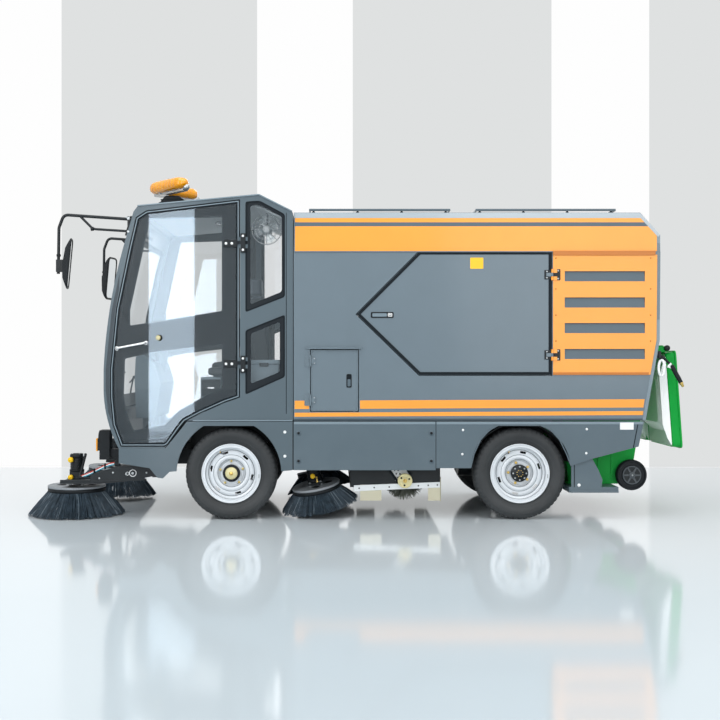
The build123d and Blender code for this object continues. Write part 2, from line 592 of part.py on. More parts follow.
def cab_door_hinges():
    """Moving and fixed halves of the left cab door's hinges; the moving leaves pass just over the glass."""
    moving, fixed = hinge_halves(DOOR_HINGE, DOOR_HINGE_Z, DOOR_LEAVES, (BODY_HALF + RUN_GAP, BODY_HALF))
    half = HINGE_MIDDLE_HALF - RUN_GAP
    feet = [block(DOOR_LEAF_FOOT, (-BODY_HALF - 1, -BODY_HALF), (z - half, z + half)) for z in DOOR_HINGE_Z]
    return moving + feet, fixed


def cab_door():
    """Left cab door: a framed panel with two window openings, a recess for its glass, and its hinge leaves."""
    face = door_face()
    y = -BODY_HALF
    panel = slab(face, y, y + DOOR_THICK)
    recess = slab(inset(face, DOOR_LIP), y - 1, y + GLASS_THICK)
    windows = [slab(rounded(points, 12), y - 1, y + DOOR_THICK + 1)
               for points in (DOOR_WINDOW_HIGH, DOOR_WINDOW_LOW)]
    return joined(panel.cut(recess, *windows), *cab_door_hinges()[0])


def door_glass():
    """One pane that fills the left door's recess."""
    y = -BODY_HALF
    return slab(inset(door_face(), DOOR_LIP + RUN_GAP), y, y + GLASS_THICK)


def cab_skirts():
    """Side panels below the cab with the front wheel arches, and the apron between them."""
    top = CAB_SILL_Z
    panel = outline((-725, top), (FOOTWELL_REAR[0] + 6, top), (FOOTWELL_SLOPE[0] + 4, 584), (LEDGE_FRONT_X + 6, LEDGE_Z - 6),
                    (CAB_REAR_X - 2, LEDGE_Z - 6), (CAB_REAR_X - 2, 325), (FRONT_ARCH_X[1], 318),
                    (255, 520, FRONT_ARCH_FLAT_X[1], FRONT_ARCH_TOP_Z), (FRONT_ARCH_FLAT_X[0], FRONT_ARCH_TOP_Z),
                    (-290, 500, FRONT_ARCH_X[0], 318), (-396, 314), (-440, 272), (-474, 276), (-526, 338),
                    (-725, 370))
    apron = block(APRON_X, (-APRON_HALF, APRON_HALF), APRON_Z)
    apron = apron.cut(block((APRON_X[0] - 1, APRON_X[1] + 1), (-APRON_NOTCH, APRON_NOTCH), (0, TOW_EYE[1] + 40)))
    return [slab(panel, *sorted((side * SKIRT_HALF, side * (SKIRT_HALF - SKIRT_WALL)))) for side in (-1, 1)] + [apron]


# ---------------------------------------------------------------- body
def body_face():
    """Outer side view of the hopper body above the ledge."""
    return outline((BODY_FRONT_X, LEDGE_Z), (BODY_FRONT_X, BODY_ROOF_Z), (BODY_ROOF_REAR_X, BODY_ROOF_Z),
                   BODY_REAR_TOP, BODY_REAR_MID, BODY_REAR_LOW)


def body_sides():
    """The two side walls with their door, hatch and louvre openings."""
    wall = slab(body_face(), -BODY_HALF, -BODY_HALF + BODY_WALL)
    cuts = [slab(inset(Face(Wire.make_polygon([(x, 0, z) for x, z in points])), -DOOR_GAP),
                 -BODY_HALF - 1, -BODY_HALF + BODY_WALL + 1) for points in (SIDE_DOOR, HATCH)]
    cuts.append(block(BIN_BAY_WINDOW[0], (-BODY_HALF - 1, -BODY_HALF + BODY_WALL + 1), BIN_BAY_WINDOW[1]))
    lean = [(-BODY_HALF - 1, BODY_SHOULDER_Z), (-BODY_HALF + BODY_SHOULDER_STEP, BODY_SHOULDER_Z),
            (-BODY_HALF + BODY_SHOULDER_LEAN, BODY_ROOF_Z + 1), (-BODY_HALF - 1, BODY_ROOF_Z + 1)]
    face = Face(Wire.make_polygon([(BODY_FRONT_X - 1, y, z) for y, z in lean]))
    cuts.append(Solid.extrude(face, Vector(BODY_REAR_TOP[0] - BODY_FRONT_X + 2, 0, 0)))
    left = joined(wall.cut(*cuts), *hatch_hinges()[1])
    return [left, other_side(left)]


def body_shell():
    """Front wall, roof and floor between the side walls, with the bulkhead ahead of the bins."""
    half = BODY_HALF - BODY_WALL - RUN_GAP
    front = block((BODY_FRONT_X, BODY_FRONT_X + BODY_WALL), (-half, half), (LEDGE_Z, BODY_ROOF_Z - BODY_WALL))
    roof = block((BODY_FRONT_X, BODY_ROOF_REAR_X - 10), (-half, half), (BODY_ROOF_Z - BODY_WALL, BODY_ROOF_Z))
    floor = block((BODY_FRONT_X, BIN_BAY_X), (-half, half), (LEDGE_Z - 6, LEDGE_Z + 24))
    bulkhead = block((BIN_BAY_X - 30, BIN_BAY_X), (-half, half), (LEDGE_Z, BODY_ROOF_Z - 20))
    hinge_x, hinge_z = REAR_HATCH_HINGE
    fixed = []
    for y in REAR_HATCH_HINGE_Y:
        fixed.append(rod((hinge_x, y - HINGE_HALF, hinge_z), (hinge_x, y + HINGE_HALF, hinge_z), HINGE_PIN_RADIUS))
        for low, high in ((-HINGE_HALF, -HINGE_MIDDLE_HALF), (HINGE_MIDDLE_HALF, HINGE_HALF)):
            fixed.append(rod((hinge_x, y + low, hinge_z), (hinge_x, y + high, hinge_z), HINGE_KNUCKLE_RADIUS))
            fixed.append(block((BODY_ROOF_REAR_X - 20, hinge_x), (y + low, y + high), (hinge_z - 7, BODY_ROOF_Z)))
    return joined(front, roof, floor, bulkhead, *fixed)


def side_door():
    """Left arrow-shaped service door."""
    face = Face(Wire.make_polygon([(x, 0, z) for x, z in SIDE_DOOR]))
    return joined(slab(face, -BODY_HALF, -BODY_HALF + BODY_WALL), *side_door_hinges()[0])


def side_door_hinges():
    """Moving and fixed halves of the left service door's hinges; the fixed ones sit on the louvre panel."""
    return hinge_halves(SIDE_DOOR_HINGE, SIDE_DOOR_HINGE_Z, SIDE_DOOR_LEAVES, (BODY_HALF, BODY_HALF + LOUVRE_THICK))


def hatch_hinges():
    """Moving and fixed halves of the left hatch's hinges."""
    return hinge_halves(HATCH_HINGE, HATCH_HINGE_Z, HATCH_LEAVES, (BODY_HALF, BODY_HALF))


def hatch():
    """Left small hatch."""
    face = Face(Wire.make_polygon([(x, 0, z) for x, z in HATCH]))
    return joined(slab(face, -BODY_HALF, -BODY_HALF + BODY_WALL), *hatch_hinges()[0])


def louvre_panel():
    """Left panel over the bin bay's side window, with four slots and the service door's fixed hinge leaves."""
    face = outline((BIN_BAY_X + 10, LOUVRE_Z[0]), (BIN_BAY_X + 10, LOUVRE_Z[1]), (LOUVRE_REAR_X, LOUVRE_Z[1]),
                   (LOUVRE_REAR_X, 1200), (LOUVRE_REAR_X - 38, LOUVRE_Z[0]))
    y = -BODY_HALF - LOUVRE_THICK
    slots = [block(LOUVRE_SLOT_X, (y - 1, -BODY_HALF + 1), (z - LOUVRE_SLOT_HEIGHT / 2, z + LOUVRE_SLOT_HEIGHT / 2))
             for z in LOUVRE_SLOT_Z]
    return joined(slab(face, y, -BODY_HALF).cut(*slots), *side_door_hinges()[1])


def louvre_slats():
    """Left slats, one sloping plate in each slot of the louvre panel."""
    x0, x1 = LOUVRE_SLOT_X
    y = -BODY_HALF - LOUVRE_THICK
    half = LOUVRE_SLOT_HEIGHT / 2 - RUN_GAP
    slats = []
    for z in LOUVRE_SLOT_Z:
        section = [(y, z - half), (y + LOUVRE_THICK, z - half), (y + SLAT_DEPTH, z + half),
                   (y + SLAT_DEPTH - LOUVRE_THICK, z + half)]
        face = Face(Wire.make_polygon([(x0 + RUN_GAP, py, pz) for py, pz in section]))
        slats.append(Solid.extrude(face, Vector(x1 - x0 - 2 * RUN_GAP, 0, 0)))
    return slats


def body_skirts():
    """Middle and rear skirts with the rear wheel arches."""
    top = LEDGE_Z - 6
    middle = outline((BODY_FRONT_X, top), (MID_SKIRT_REAR_X - 2, top), (MID_SKIRT_REAR_X - 2, 325), (BODY_FRONT_X, 325))
    rear = outline((MID_SKIRT_REAR_X + 2, top), (BODY_REAR_LOW[0] - 12, top), (BODY_TOE[0] + 4, 478), (2347, 400),
                   (REAR_ARCH_X[1], 351), (2150, 500, REAR_ARCH_FLAT_X[1], REAR_ARCH_TOP_Z),
                   (REAR_ARCH_FLAT_X[0], REAR_ARCH_TOP_Z), (1605, 500, REAR_ARCH_X[0], SKIRT_LOW_Z),
                   (MID_SKIRT_REAR_X + 2, SKIRT_LOW_Z))
    panels = []
    for side in (-1, 1):
        y = sorted((side * SKIRT_HALF, side * (SKIRT_HALF - SKIRT_WALL)))
        panels += [slab(middle, *y), slab(rear, *y)]
    return panels


def roof_covers():
    """Two raised covers on the body's roof."""
    return [block(x, (-ROOF_COVER_HALF, ROOF_COVER_HALF), (BODY_ROOF_Z, BODY_ROOF_Z + ROOF_COVER_HEIGHT))
            for x in ROOF_COVERS]


def rear_hatch():
    """Top-hinged rear hatch above the bins."""
    half = BODY_HALF - BODY_WALL - 6
    face = outline((BODY_ROOF_REAR_X + 2, BODY_ROOF_Z - 14), (BODY_REAR_TOP[0] - 6, BODY_REAR_TOP[1] - 4),
                   (BODY_REAR_MID[0] - 6, BODY_REAR_MID[1] + 10), (BODY_REAR_MID[0] - 34, BODY_REAR_MID[1] + 10),
                   (BODY_REAR_TOP[0] - 34, BODY_REAR_TOP[1] - 14), (BODY_ROOF_REAR_X - 2, BODY_ROOF_Z - 44))
    x, z = REAR_HATCH_HINGE
    middle = HINGE_MIDDLE_HALF - RUN_GAP
    leaves = []
    for y in REAR_HATCH_HINGE_Y:
        leaf = joined(rod((x, y - middle, z), (x, y + middle, z), HINGE_KNUCKLE_RADIUS),
                      block((x, x + 14), (y - middle, y + middle), (z - 34, z)))
        leaves.append(leaf.cut(rod((x, y - 20, z), (x, y + 20, z), HINGE_PIN_RADIUS + RUN_GAP)))
    return joined(slab(face, -half, half), *leaves)


# ---------------------------------------------------------------- cab fittings
def dashboard():
    """Low dash across the nose, steering column and steering wheel."""
    dash = slab(outline((-690, 640), (-702, 900), (-694, 1060), (-650, 1085), (-560, 1010), (-520, 880), (-560, 640)),
                -DASH_HALF, DASH_HALF)
    foot = (-640, 0, FOOTWELL_Z[1] + 60)
    hub = (WHEEL_CENTRE[0], 0, WHEEL_CENTRE[1])
    column = rod(foot, hub, 32)
    pedestal = block((-680, -600), (-90, 90), (FOOTWELL_Z[1], 700))
    axis = Vector(*hub) - Vector(*foot)
    rim_path = Wire.make_circle(WHEEL_RADIUS, Plane(origin=hub, z_dir=axis))
    section = Plane(origin=rim_path @ 0, z_dir=rim_path % 0) * Circle(WHEEL_TUBE)
    rim_solid = sweep(section, path=rim_path).solid()
    plane = Plane(origin=hub, z_dir=axis)
    spokes = [Solid.make_box(2 * WHEEL_RADIUS - 4, 30, 10, Plane(origin=(-WHEEL_RADIUS + 2, -15, -5))),
              Solid.make_box(30, WHEEL_RADIUS - 2, 10, Plane(origin=(-15, -WHEEL_RADIUS + 2, -5)))]
    boss = Solid.make_cylinder(48, 30, Plane(origin=(0, 0, -15)))
    return joined(dash, pedestal, column, rim_solid, *[s.moved(plane.location) for s in (*spokes, boss)])


def driver_seat():
    """Plinth, cushion, back and headrest of the seat."""
    (px, pz), (cx, cz) = SEAT_PLINTH, SEAT_CUSHION
    y = (-SEAT_HALF, SEAT_HALF)
    (waist_x, waist_z), (top_x, top_z) = SEAT_WAIST, SEAT_BACK_TOP
    thick = SEAT_BACK_THICK
    plinth = block(px, (-SEAT_HALF + 40, SEAT_HALF - 40), pz)
    back = slab(outline((cx[1] - thick, cz[0]), (waist_x - thick, waist_z), (top_x - thick, top_z - 40),
                        (top_x - thick + 20, top_z), (top_x - 20, top_z), (top_x, top_z - 40), (waist_x, waist_z),
                        (cx[1], cz[0])), *y)
    return joined(plinth, block(cx, y, cz), back, block(*HEADREST))


def beacon_plan(width, z0, z1):
    """The bar's V seen from above, as a prism: apex in front, both arms swept back."""
    tips = [(BEACON_TIP_X - width / 2, BEACON_HALF), (BEACON_TIP_X, BEACON_HALF - width / 3)]
    plan = [(BEACON_APEX_X, -40), (BEACON_APEX_X, 40), *tips, (BEACON_APEX_X + width + 20, 0),
            *[(x, -y) for x, y in reversed(tips)]]
    face = Face(Wire.make_polygon([(x, y, z0) for x, y in plan]))
    return Solid.extrude(face, Vector(0, 0, z1 - z0))


def roof_z(x):
    """Height of the cab roof's front slope."""
    (x0, z0), (x1, z1) = CAB_ROOF_FRONT, CAB_ROOF_PEAK
    return z0 + (z1 - z0) * (x - x0) / (x1 - x0)


def beacon_mount():
    """Foot on the cab roof and the bar's base."""
    (x0, x1), half = BEACON_FOOT
    top = BEACON_BASE_Z[0]
    foot = slab(outline((x0, roof_z(x0)), (x0 + 60, top), (x1 - 50, top), (x1, roof_z(x1))), -half, half)
    return joined(foot, beacon_plan(BEACON_WIDTH, *BEACON_BASE_Z))


def beacon_lens():
    """Amber V of the light bar, with rounded corners."""
    lens = beacon_plan(BEACON_WIDTH, BEACON_BASE_Z[1], BEACON_TOP_Z)
    lens = lens.fillet(BEACON_ROUND, [e for e in lens.edges().filter_by(Axis.Z) if abs(e.center().Y) > 1])
    return lens.fillet(BEACON_ROUND - 4, lens.faces().sort_by(Axis.Z)[-1].edges())


def tube(points, radius, bends):
    """A bent round tube through corner points."""
    path = FilletPolyline(*points, radius=bends)
    return sweep(Plane(origin=path @ 0, z_dir=path % 0) * Circle(radius), path=path).solid()


def brow_x(z):
    """Where the cab's upper front face is at a height."""
    (x0, z0), (x1, z1) = CAB_BROW_TOP, CAB_VISOR
    return x0 + (x1 - x0) * (z - z0) / (z1 - z0)


def mirror_arm():
    """Left mirror arm: bracket on the pillar, the long tube to the head's clamp, and its brace."""
    y = -MIRROR_ARM_Y
    low, high = MIRROR_BRACKET_Z
    bracket = slab(outline((brow_x(low) - 16, low), (brow_x(low), low), (brow_x(high), high),
                           (brow_x(high) - 16, high)), y - 12, y + 12)
    main = tube([(brow_x(1955) - 8, y, 1955), (-1090, y, 1985), (-1122, y, 1900), (-1126, y, 1600)],
                MIRROR_TUBE, [40, 60])
    brace = tube([(brow_x(1878) - 8, y, 1878), (-900, y, 1892), (-985, y, 1977)], MIRROR_TUBE - 2, [60])
    clamp = block((MIRROR_BACK[1][0] - 36, MIRROR_BACK[1][0] + 14), (y - 16, y + 16), (1612, 1692))
    clamp = clamp.cut(mirror_head().moved(Location((-RUN_GAP, 0, 0))))
    return joined(bracket, main, brace, clamp)


def mirror_head():
    """Left mirror head: flat behind, bowed in front, with round corners, turned towards the driver."""
    (top_x, top_z), (low_x, low_z) = MIRROR_GLASS
    side = slab(outline((top_x, top_z), *MIRROR_BACK, (low_x, low_z)), -MIRROR_HALF - 1, MIRROR_HALF + 1)
    middle, half_height = MIRROR_BACK[1][0], (top_z - low_z) / 2
    face = RectangleRounded(2 * MIRROR_HALF, 2 * half_height - 8, MIRROR_HALF / 2)
    ahead = Plane(origin=(middle - 50, 0, low_z + half_height), x_dir=(0, 1, 0), z_dir=(1, 0, 0))
    head = (side & extrude(ahead * face, 200).solid()).solids().sort_by(SortBy.VOLUME)[-1]
    turned_head = head.rotate(Axis((middle, 0, 0), (0, 0, 1)), MIRROR_TURN)
    return turned_head.moved(Location((0, -MIRROR_Y, 0)))


def lamps():
    """Front lamp boxes on stems with their markers, and tail lamps inside the body's rear edges."""
    pieces = []
    for side in (-1, 1):
        front = [block(x, sorted(side * v for v in y), z) for x, y, z in (LAMP_BOX, LAMP_STEM, MARKER_BOX)]
        pieces.append(joined(*front))
        x, y, z = TAIL_LAMP
        pieces.append(block(x, sorted(side * v for v in y), z))
    return pieces


# ---------------------------------------------------------------- bins
def spray_gun():
    """Washing lance: flange on the left wall's rear edge, bent pipe, grip and nozzle."""
    (x0, z0), (x1, z1) = BODY_REAR_LOW, BODY_REAR_MID
    low, high = GUN_FLANGE_Z
    edge = [x0 + (x1 - x0) * (z - z0) / (z1 - z0) for z in (low, high)]
    flange = slab(outline((edge[0], low), (edge[1], high), (edge[1] + 10, high), (edge[0] + 10, low)),
                  GUN_Y - 14, GUN_Y + 14)
    start = (edge[1] + 4, GUN_Y, (low + high) / 2)
    knee, wrist, muzzle = [(x, GUN_Y, z) for x, z in GUN_PATH]
    pipe = tube([start, (GUN_ELBOW[0], GUN_Y, GUN_ELBOW[1]), knee], GUN_PIPE, [60])
    grip = joined(rod(knee, wrist, GUN_GRIP), rod(wrist, muzzle, GUN_PIPE))
    return joined(flange, pipe, grip)


def bin_platform():
    """Platform behind the rear wheels, with its shaped cheeks."""
    x0, x1 = PLATFORM_X
    outer = SKIRT_HALF - SKIRT_WALL
    inner_x, inner_y = PLATFORM_INNER
    deck = joined(block((x0, x1), (-outer, outer), PLATFORM_Z), block((inner_x, x0), (-inner_y, inner_y), PLATFORM_Z))
    cheek = outline((x0 + 14, PLATFORM_Z[1]), (x0 + 14, 362), (2347, 396), (2386, 325), (2412, 262), (2405, PLATFORM_Z[1]))
    cheeks = [slab(cheek, *sorted((side * outer, side * (outer - PLATFORM_CHEEK)))) for side in (-1, 1)]
    return joined(deck, *cheeks)


def bin_loft(spread, z0, z1):
    """A tapered box between two heights of a bin, its walls moved out by spread."""
    wires = []
    for z in (z0, z1):
        share = (z - BIN_FOOT_Z) / (BIN_RIM_Z - BIN_FOOT_Z)
        front = BIN_FRONT_LOW_X + share * (BIN_FRONT_HIGH_X - BIN_FRONT_LOW_X) - spread
        rear = BIN_REAR_LOW_X + share * (BIN_REAR_HIGH_X - BIN_REAR_LOW_X) + spread
        half = BIN_HALF_LOW + share * (BIN_HALF_HIGH - BIN_HALF_LOW) + spread
        wires.append(Wire.make_polygon([(front, -half, z), (rear, -half, z), (rear, half, z), (front, half, z)]))
    return Solid.make_loft(wires, ruled=True)


def axle_notch(spread):
    """The corner taken out under a bin's rear for its axle."""
    (x, z), room, far = BIN_WHEEL, BIN_NOTCH + spread, BIN_HALF_HIGH + BIN_NOTCH
    return block((x - room, x + 4 * room), (-far, far), (BIN_FOOT_Z - 1, z + room))


def wheelie_bin(y):
    """One bin: tapered shell open at the top, rim, hinge lugs with the lid's pin, and axle lugs."""
    hinge_x, hinge_z = BIN_HINGE
    shell = bin_loft(0, BIN_FOOT_Z, BIN_RIM_Z).cut(axle_notch(0))
    rim_z, rim_out = BIN_RIM
    rim_band = bin_loft(rim_out, rim_z, BIN_RIM_Z)
    lugs = [slab(outline((BIN_REAR_HIGH_X - 8, rim_z), (BIN_REAR_HIGH_X - 8, BIN_RIM_Z), (hinge_x - 10, BIN_RIM_Z + 10),
                         (hinge_x + 20, hinge_z, hinge_x, hinge_z - 20)), *lug) for lug in BIN_LUGS]
    pin = rod((hinge_x, BIN_LUGS[0][0], hinge_z), (hinge_x, BIN_LUGS[-1][1], hinge_z), BIN_HINGE_RADIUS)
    wheel_x, wheel_z = BIN_WHEEL
    offset, thick = BIN_AXLE_LUGS
    axle_lugs = []
    for s in (-1, 1):
        lug = block((wheel_x - 22, wheel_x + 22), sorted((s * offset, s * (offset + thick))),
                    (wheel_z - 22, wheel_z + BIN_NOTCH + 1))
        axle_lugs.append(lug.cut(rod((wheel_x, -300, wheel_z), (wheel_x, 300, wheel_z), BIN_AXLE_RADIUS + RUN_GAP)))
    cavity = bin_loft(-BIN_WALL, BIN_FOOT_Z + BIN_WALL, BIN_RIM_Z + 1).cut(axle_notch(BIN_WALL))
    return joined(shell, rim_band, *lugs, pin, *axle_lugs).cut(cavity).moved(Location((0, y, 0)))


def bin_wheels(y):
    """A bin's axle with its two wheels."""
    x, z = BIN_WHEEL
    inner, outer = BIN_WHEEL_Y
    axle = rod((x, y - outer, z), (x, y + outer, z), BIN_AXLE_RADIUS)
    wheels = []
    for s in (-1, 1):
        profile = [(0, inner), (60, inner), (66, inner + 8), (84, inner + 8), (88, inner), (BIN_WHEEL_RADIUS - 6, inner),
                   (BIN_WHEEL_RADIUS, inner + 8), (BIN_WHEEL_RADIUS, outer - 8), (BIN_WHEEL_RADIUS - 6, outer),
                   (88, outer), (84, outer - 8), (66, outer - 8), (60, outer), (0, outer)]
        wheels.append(turned(profile, (x, y, z), (0, s, 0)))
    return joined(axle, *wheels)


def bin_lid(y):
    """A bin's lid, hanging open from its pin: dished panel, hollow behind, with two barrels."""
    x, z = BIN_HINGE
    near, far = x + LID_RIM[0], x + LID_RIM[1]
    bulge, dome_top, dome_low = x + LID_DOME[0], z - LID_DOME[1], z - LID_DOME[2]
    top, low, wall = z - LID_TOP, z - LID_LENGTH, LID_WALL
    side = outline((near, top), (far - 15, top), (far, top - 34), (far, low), (near, low), (near, dome_low - 40),
                   (bulge, dome_low), (bulge, dome_top), (near, dome_top + 40))
    hollow = outline((near + wall, top - wall), (far + 1, top - wall), (far + 1, low + wall), (near + wall, low + wall),
                     (near + wall, dome_low - 38), (bulge + wall, dome_low), (bulge + wall, dome_top),
                     (near + wall, dome_top + 38))
    panel = slab(side, -LID_HALF, LID_HALF).cut(slab(hollow, -LID_HALF + wall, LID_HALF - wall))
    outer = BIN_HINGE_RADIUS + 8
    ears = []
    for y0, y1 in LID_BARRELS:
        ear = joined(rod((x, y0, z), (x, y1, z), outer), block((x - outer, x + outer), (y0, y1), (top - 1, z)))
        ears.append(ear.cut(rod((x, y0 - 1, z), (x, y1 + 1, z), BIN_HINGE_RADIUS + RUN_GAP)))
    lid = joined(panel, *ears)
    return lid.rotate(Axis((x, 0, z), (0, 1, 0)), -LID_LEAN).moved(Location((0, y, 0)))


# ---------------------------------------------------------------- sweeping gear
def side_arm(back=0.0):
    """Left brush arm: side plate on its pivot, deck over the brush, gearbox and motor."""
    x, y = SIDE_BRUSH[0] + back, SIDE_BRUSH[1]
    px, pz = SIDE_ARM_PIVOT
    inner, outer = SIDE_ARM_Y
    low, high = SIDE_DECK_Z
    end = x + SIDE_DECK_BACK
    plate = slab(outline((px + 20, pz - 20), (px + 20, pz + 20), (px - 60, 345), (-735, 345), (end - 30, high + 50),
                         (end - 30, low), (end + 20, low), (end + 200, pz - 67)), -outer, -inner)
    boss = rod((px, -outer - 7, pz), (px, -inner + 7, pz), 32)
    deck = block((x - 60, end), (-outer, y + 50), SIDE_DECK_Z)
    gearbox = block((x - 40, x + 40), (y - 40, y + 40), (high, SIDE_GEARBOX_Z))
    motor = rod((x, y, SIDE_GEARBOX_Z), (x, y, SIDE_MOTOR_Z), 42)
    pivot_bore = rod((px, -outer - 10, pz), (px, -inner + 10, pz), SIDE_PIN_RADIUS + RUN_GAP)
    shaft_bore = rod((x, y, low - 1), (x, y, SIDE_GEARBOX_Z - 10), BRUSH_SHAFT + RUN_GAP)
    return joined(plate, boss, deck, gearbox, motor).cut(pivot_bore, shaft_bore)


def brush(x, y, disc_radius, disc_z, radius, shaft_z):
    """A disc brush on the ground: shaft, disc, and its cone of bristles as one solid skirt."""
    low, high = disc_z
    profile = [(0, low), (disc_radius - 60, low), (radius - 60, 0), (radius, 0), (radius - 12, 26),
               (disc_radius + 4, low + 14), (disc_radius, high - 10), (disc_radius - 12, high), (30, high),
               (30, high + 8), (BRUSH_SHAFT, high + 8), (BRUSH_SHAFT, shaft_z), (0, shaft_z)]
    return turned(profile, (x, y, 0), (0, 0, 1))


def side_brush(back=0.0):
    """Left side brush."""
    return brush(SIDE_BRUSH[0] + back, SIDE_BRUSH[1], SIDE_DISC_RADIUS, SIDE_DISC_Z, SIDE_BRUSH_RADIUS, SIDE_GEARBOX_Z - 14)


def raised(shape):
    """The right arm or brush, lifted about its pivot."""
    px, pz = SIDE_ARM_PIVOT
    return shape.rotate(Axis((px, 0, pz), (0, 1, 0)), RIGHT_BRUSH_LIFT)


def tilted(shape):
    """A left middle brush piece, tilted so that only its front outer edge meets the ground."""
    heading = math.radians(MID_BRUSH_HEADING)
    ahead, outward = math.cos(heading), math.sin(heading)
    contact = (MID_BRUSH[0] - MID_BRUSH_RADIUS * ahead, MID_BRUSH[1] - MID_BRUSH_RADIUS * outward, 0)
    return shape.rotate(Axis(contact, (outward, -ahead, 0)), MID_BRUSH_TILT)


def mid_brush():
    """Left middle brush."""
    return tilted(brush(*MID_BRUSH, MID_DISC_RADIUS, MID_DISC_Z, MID_BRUSH_RADIUS, MID_MOTOR_Z - 40))


def mid_brush_mount():
    """Left middle brush's motor on its plate, hung from the rail."""
    x, y = MID_BRUSH
    plate = block((x - 50, x + 50), (y - 60, -RAIL_Y[0]), MID_MOUNT_Z)
    motor = rod((x, y, MID_MOUNT_Z[1]), (x, y, MID_MOTOR_Z), 42)
    bore = rod((x, y, MID_MOUNT_Z[0] - 1), (x, y, MID_MOTOR_Z - 36), BRUSH_SHAFT + RUN_GAP)
    head = tilted(joined(plate, motor).cut(bore))
    hanger = block((x - 90, x - 10), (-RAIL_Y[1], -RAIL_Y[0]), (MID_HANGER_Z, RAIL_Z[0]))
    return joined(head, hanger)


def roller_brush():
    """Cross roller: bristle drum on its shaft, with the drive pulley outside the left plate."""
    x, z = ROLLER
    radius, y0, y1 = PULLEY
    drum = rod((x, -ROLLER_HALF, z), (x, ROLLER_HALF, z), ROLLER_RADIUS)
    shaft = rod((x, -y1, z), (x, y1, z), ROLLER_SHAFT)
    return joined(drum, shaft, rod((x, -y1, z), (x, -y0, z), radius))


def sweep_housing():
    """Open-bottomed box over the roller, hung from the rails."""
    x, z, half, wall = HOUSING_X, HOUSING_Z, HOUSING_HALF, HOUSING_WALL
    box = block(x, (-half, half), z).cut(block((x[0] + wall, x[1] - wall), (-half + wall, half - wall),
                                               (z[0] - 1, z[1] - wall)))
    box = box.cut(rod((ROLLER[0], -half - 1, ROLLER[1]), (ROLLER[0], half + 1, ROLLER[1]), ROLLER_SHAFT + RUN_GAP))
    hangers = [block(hx, sorted((side * RAIL_Y[0], side * RAIL_Y[1])), (z[1] - 1, RAIL_Z[0]))
               for hx in HANGER_X for side in (-1, 1)]
    return joined(box, *hangers)


def rubber_skirts():
    """Rubber strips outside the housing's sides and behind it."""
    half, thick = HOUSING_HALF, RUBBER_THICK
    strips = [block(x, sorted((side * half, side * (half + thick))), SIDE_RUBBER_Z)
              for x in SIDE_RUBBER_X for side in (-1, 1)]
    strips.append(block((HOUSING_X[1], HOUSING_X[1] + thick), (-half + 10, half - 10), REAR_RUBBER_Z))
    return strips


def battery_pack():
    """The traction battery, on the body's floor."""
    x, half, height = BATTERY
    floor = LEDGE_Z + 24
    return block(x, (-half, half), (floor, floor + height))


# ---------------------------------------------------------------- everything
def main():
    os.makedirs(PARTS, exist_ok=True)
    save("frame_rails", frame_rails())
    save("leaf_springs", *[leaf_spring(x, s) for x in (0.0, WHEELBASE) for s in (-1, 1)])
    save("front_axle", front_axle())
    save("rear_axle", rear_axle())
    save("knuckle_left", knuckle())
    save("knuckle_right", other_side(knuckle()))
    save("tie_rod", tie_rod())
    for end, x, turn in (("front", 0.0, RIM_TURN[0]), ("rear", WHEELBASE, RIM_TURN[1])):
        for name, side in (("left", -1), ("right", 1)):
            save(f"tyre_{end}_{name}", tyre(x, side))
            save(f"rim_{end}_{name}", rim(x, side, turn))
    save("cab_frame", cab_frame())
    save("cab_glass", *cab_glass())
    save("cab_floor", cab_floor())
    save("cab_door_left", cab_door())
    save("cab_door_right", other_side(cab_door()))
    save("door_glass_left", door_glass())
    save("door_glass_right", other_side(door_glass()))
    save("cab_skirts", *cab_skirts())
    save("body_sides", *body_sides())
    save("body_shell", body_shell())
    save("service_door_left", side_door())
    save("service_door_right", other_side(side_door()))
    save("hatch_left", hatch())
    save("hatch_right", other_side(hatch()))
    save("louvre_panels", louvre_panel(), other_side(louvre_panel()))
    save("louvre_slats", *louvre_slats(), *[other_side(s) for s in louvre_slats()])
    save("body_skirts", *body_skirts())
    save("roof_covers", *roof_covers())
    save("rear_hatch", rear_hatch())
    save("dashboard", dashboard())
    save("driver_seat", driver_seat())
    save("beacon_mount", beacon_mount())
    save("beacon_lens", beacon_lens())
    save("mirror_arms", mirror_arm(), other_side(mirror_arm()))
    save("mirror_heads", mirror_head(), other_side(mirror_head()))
    save("lamps", *lamps())
    save("battery_pack", battery_pack())
    save("spray_gun", spray_gun())
    save("bin_platform", bin_platform())
    save("bins", wheelie_bin(-BIN_Y), wheelie_bin(BIN_Y))
    for name, side in (("left", -1), ("right", 1)):
        save(f"bin_lid_{name}", bin_lid(side * BIN_Y))
        save(f"bin_wheels_{name}", bin_wheels(side * BIN_Y))
    save("side_arm_left", side_arm())
    save("side_arm_right", raised(other_side(side_arm(RIGHT_BRUSH_BACK))))
    save("side_brush_left", side_brush())
    save("side_brush_right", raised(other_side(side_brush(RIGHT_BRUSH_BACK))))
    save("mid_brush_mounts", mid_brush_mount(), other_side(mid_brush_mount()))
    save("mid_brush_left", mid_brush())
    save("mid_brush_right", other_side(mid_brush()))
    save("roller_brush", roller_brush())
    save("sweep_housing", sweep_housing())
    save("rubber_skirts", *rubber_skirts())


main()
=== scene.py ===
"""The looks of a compact street sweeper truck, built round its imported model.

Sizes are in millimetres with x measured rearwards from the front axle, y to the driver's right and z up, and
place() turns them into the frame's metres.  Pieces are drawn on the left side, at negative y, and mirrored.
"""

import math
import random

import bmesh
import bpy
from mathutils import Matrix, Vector


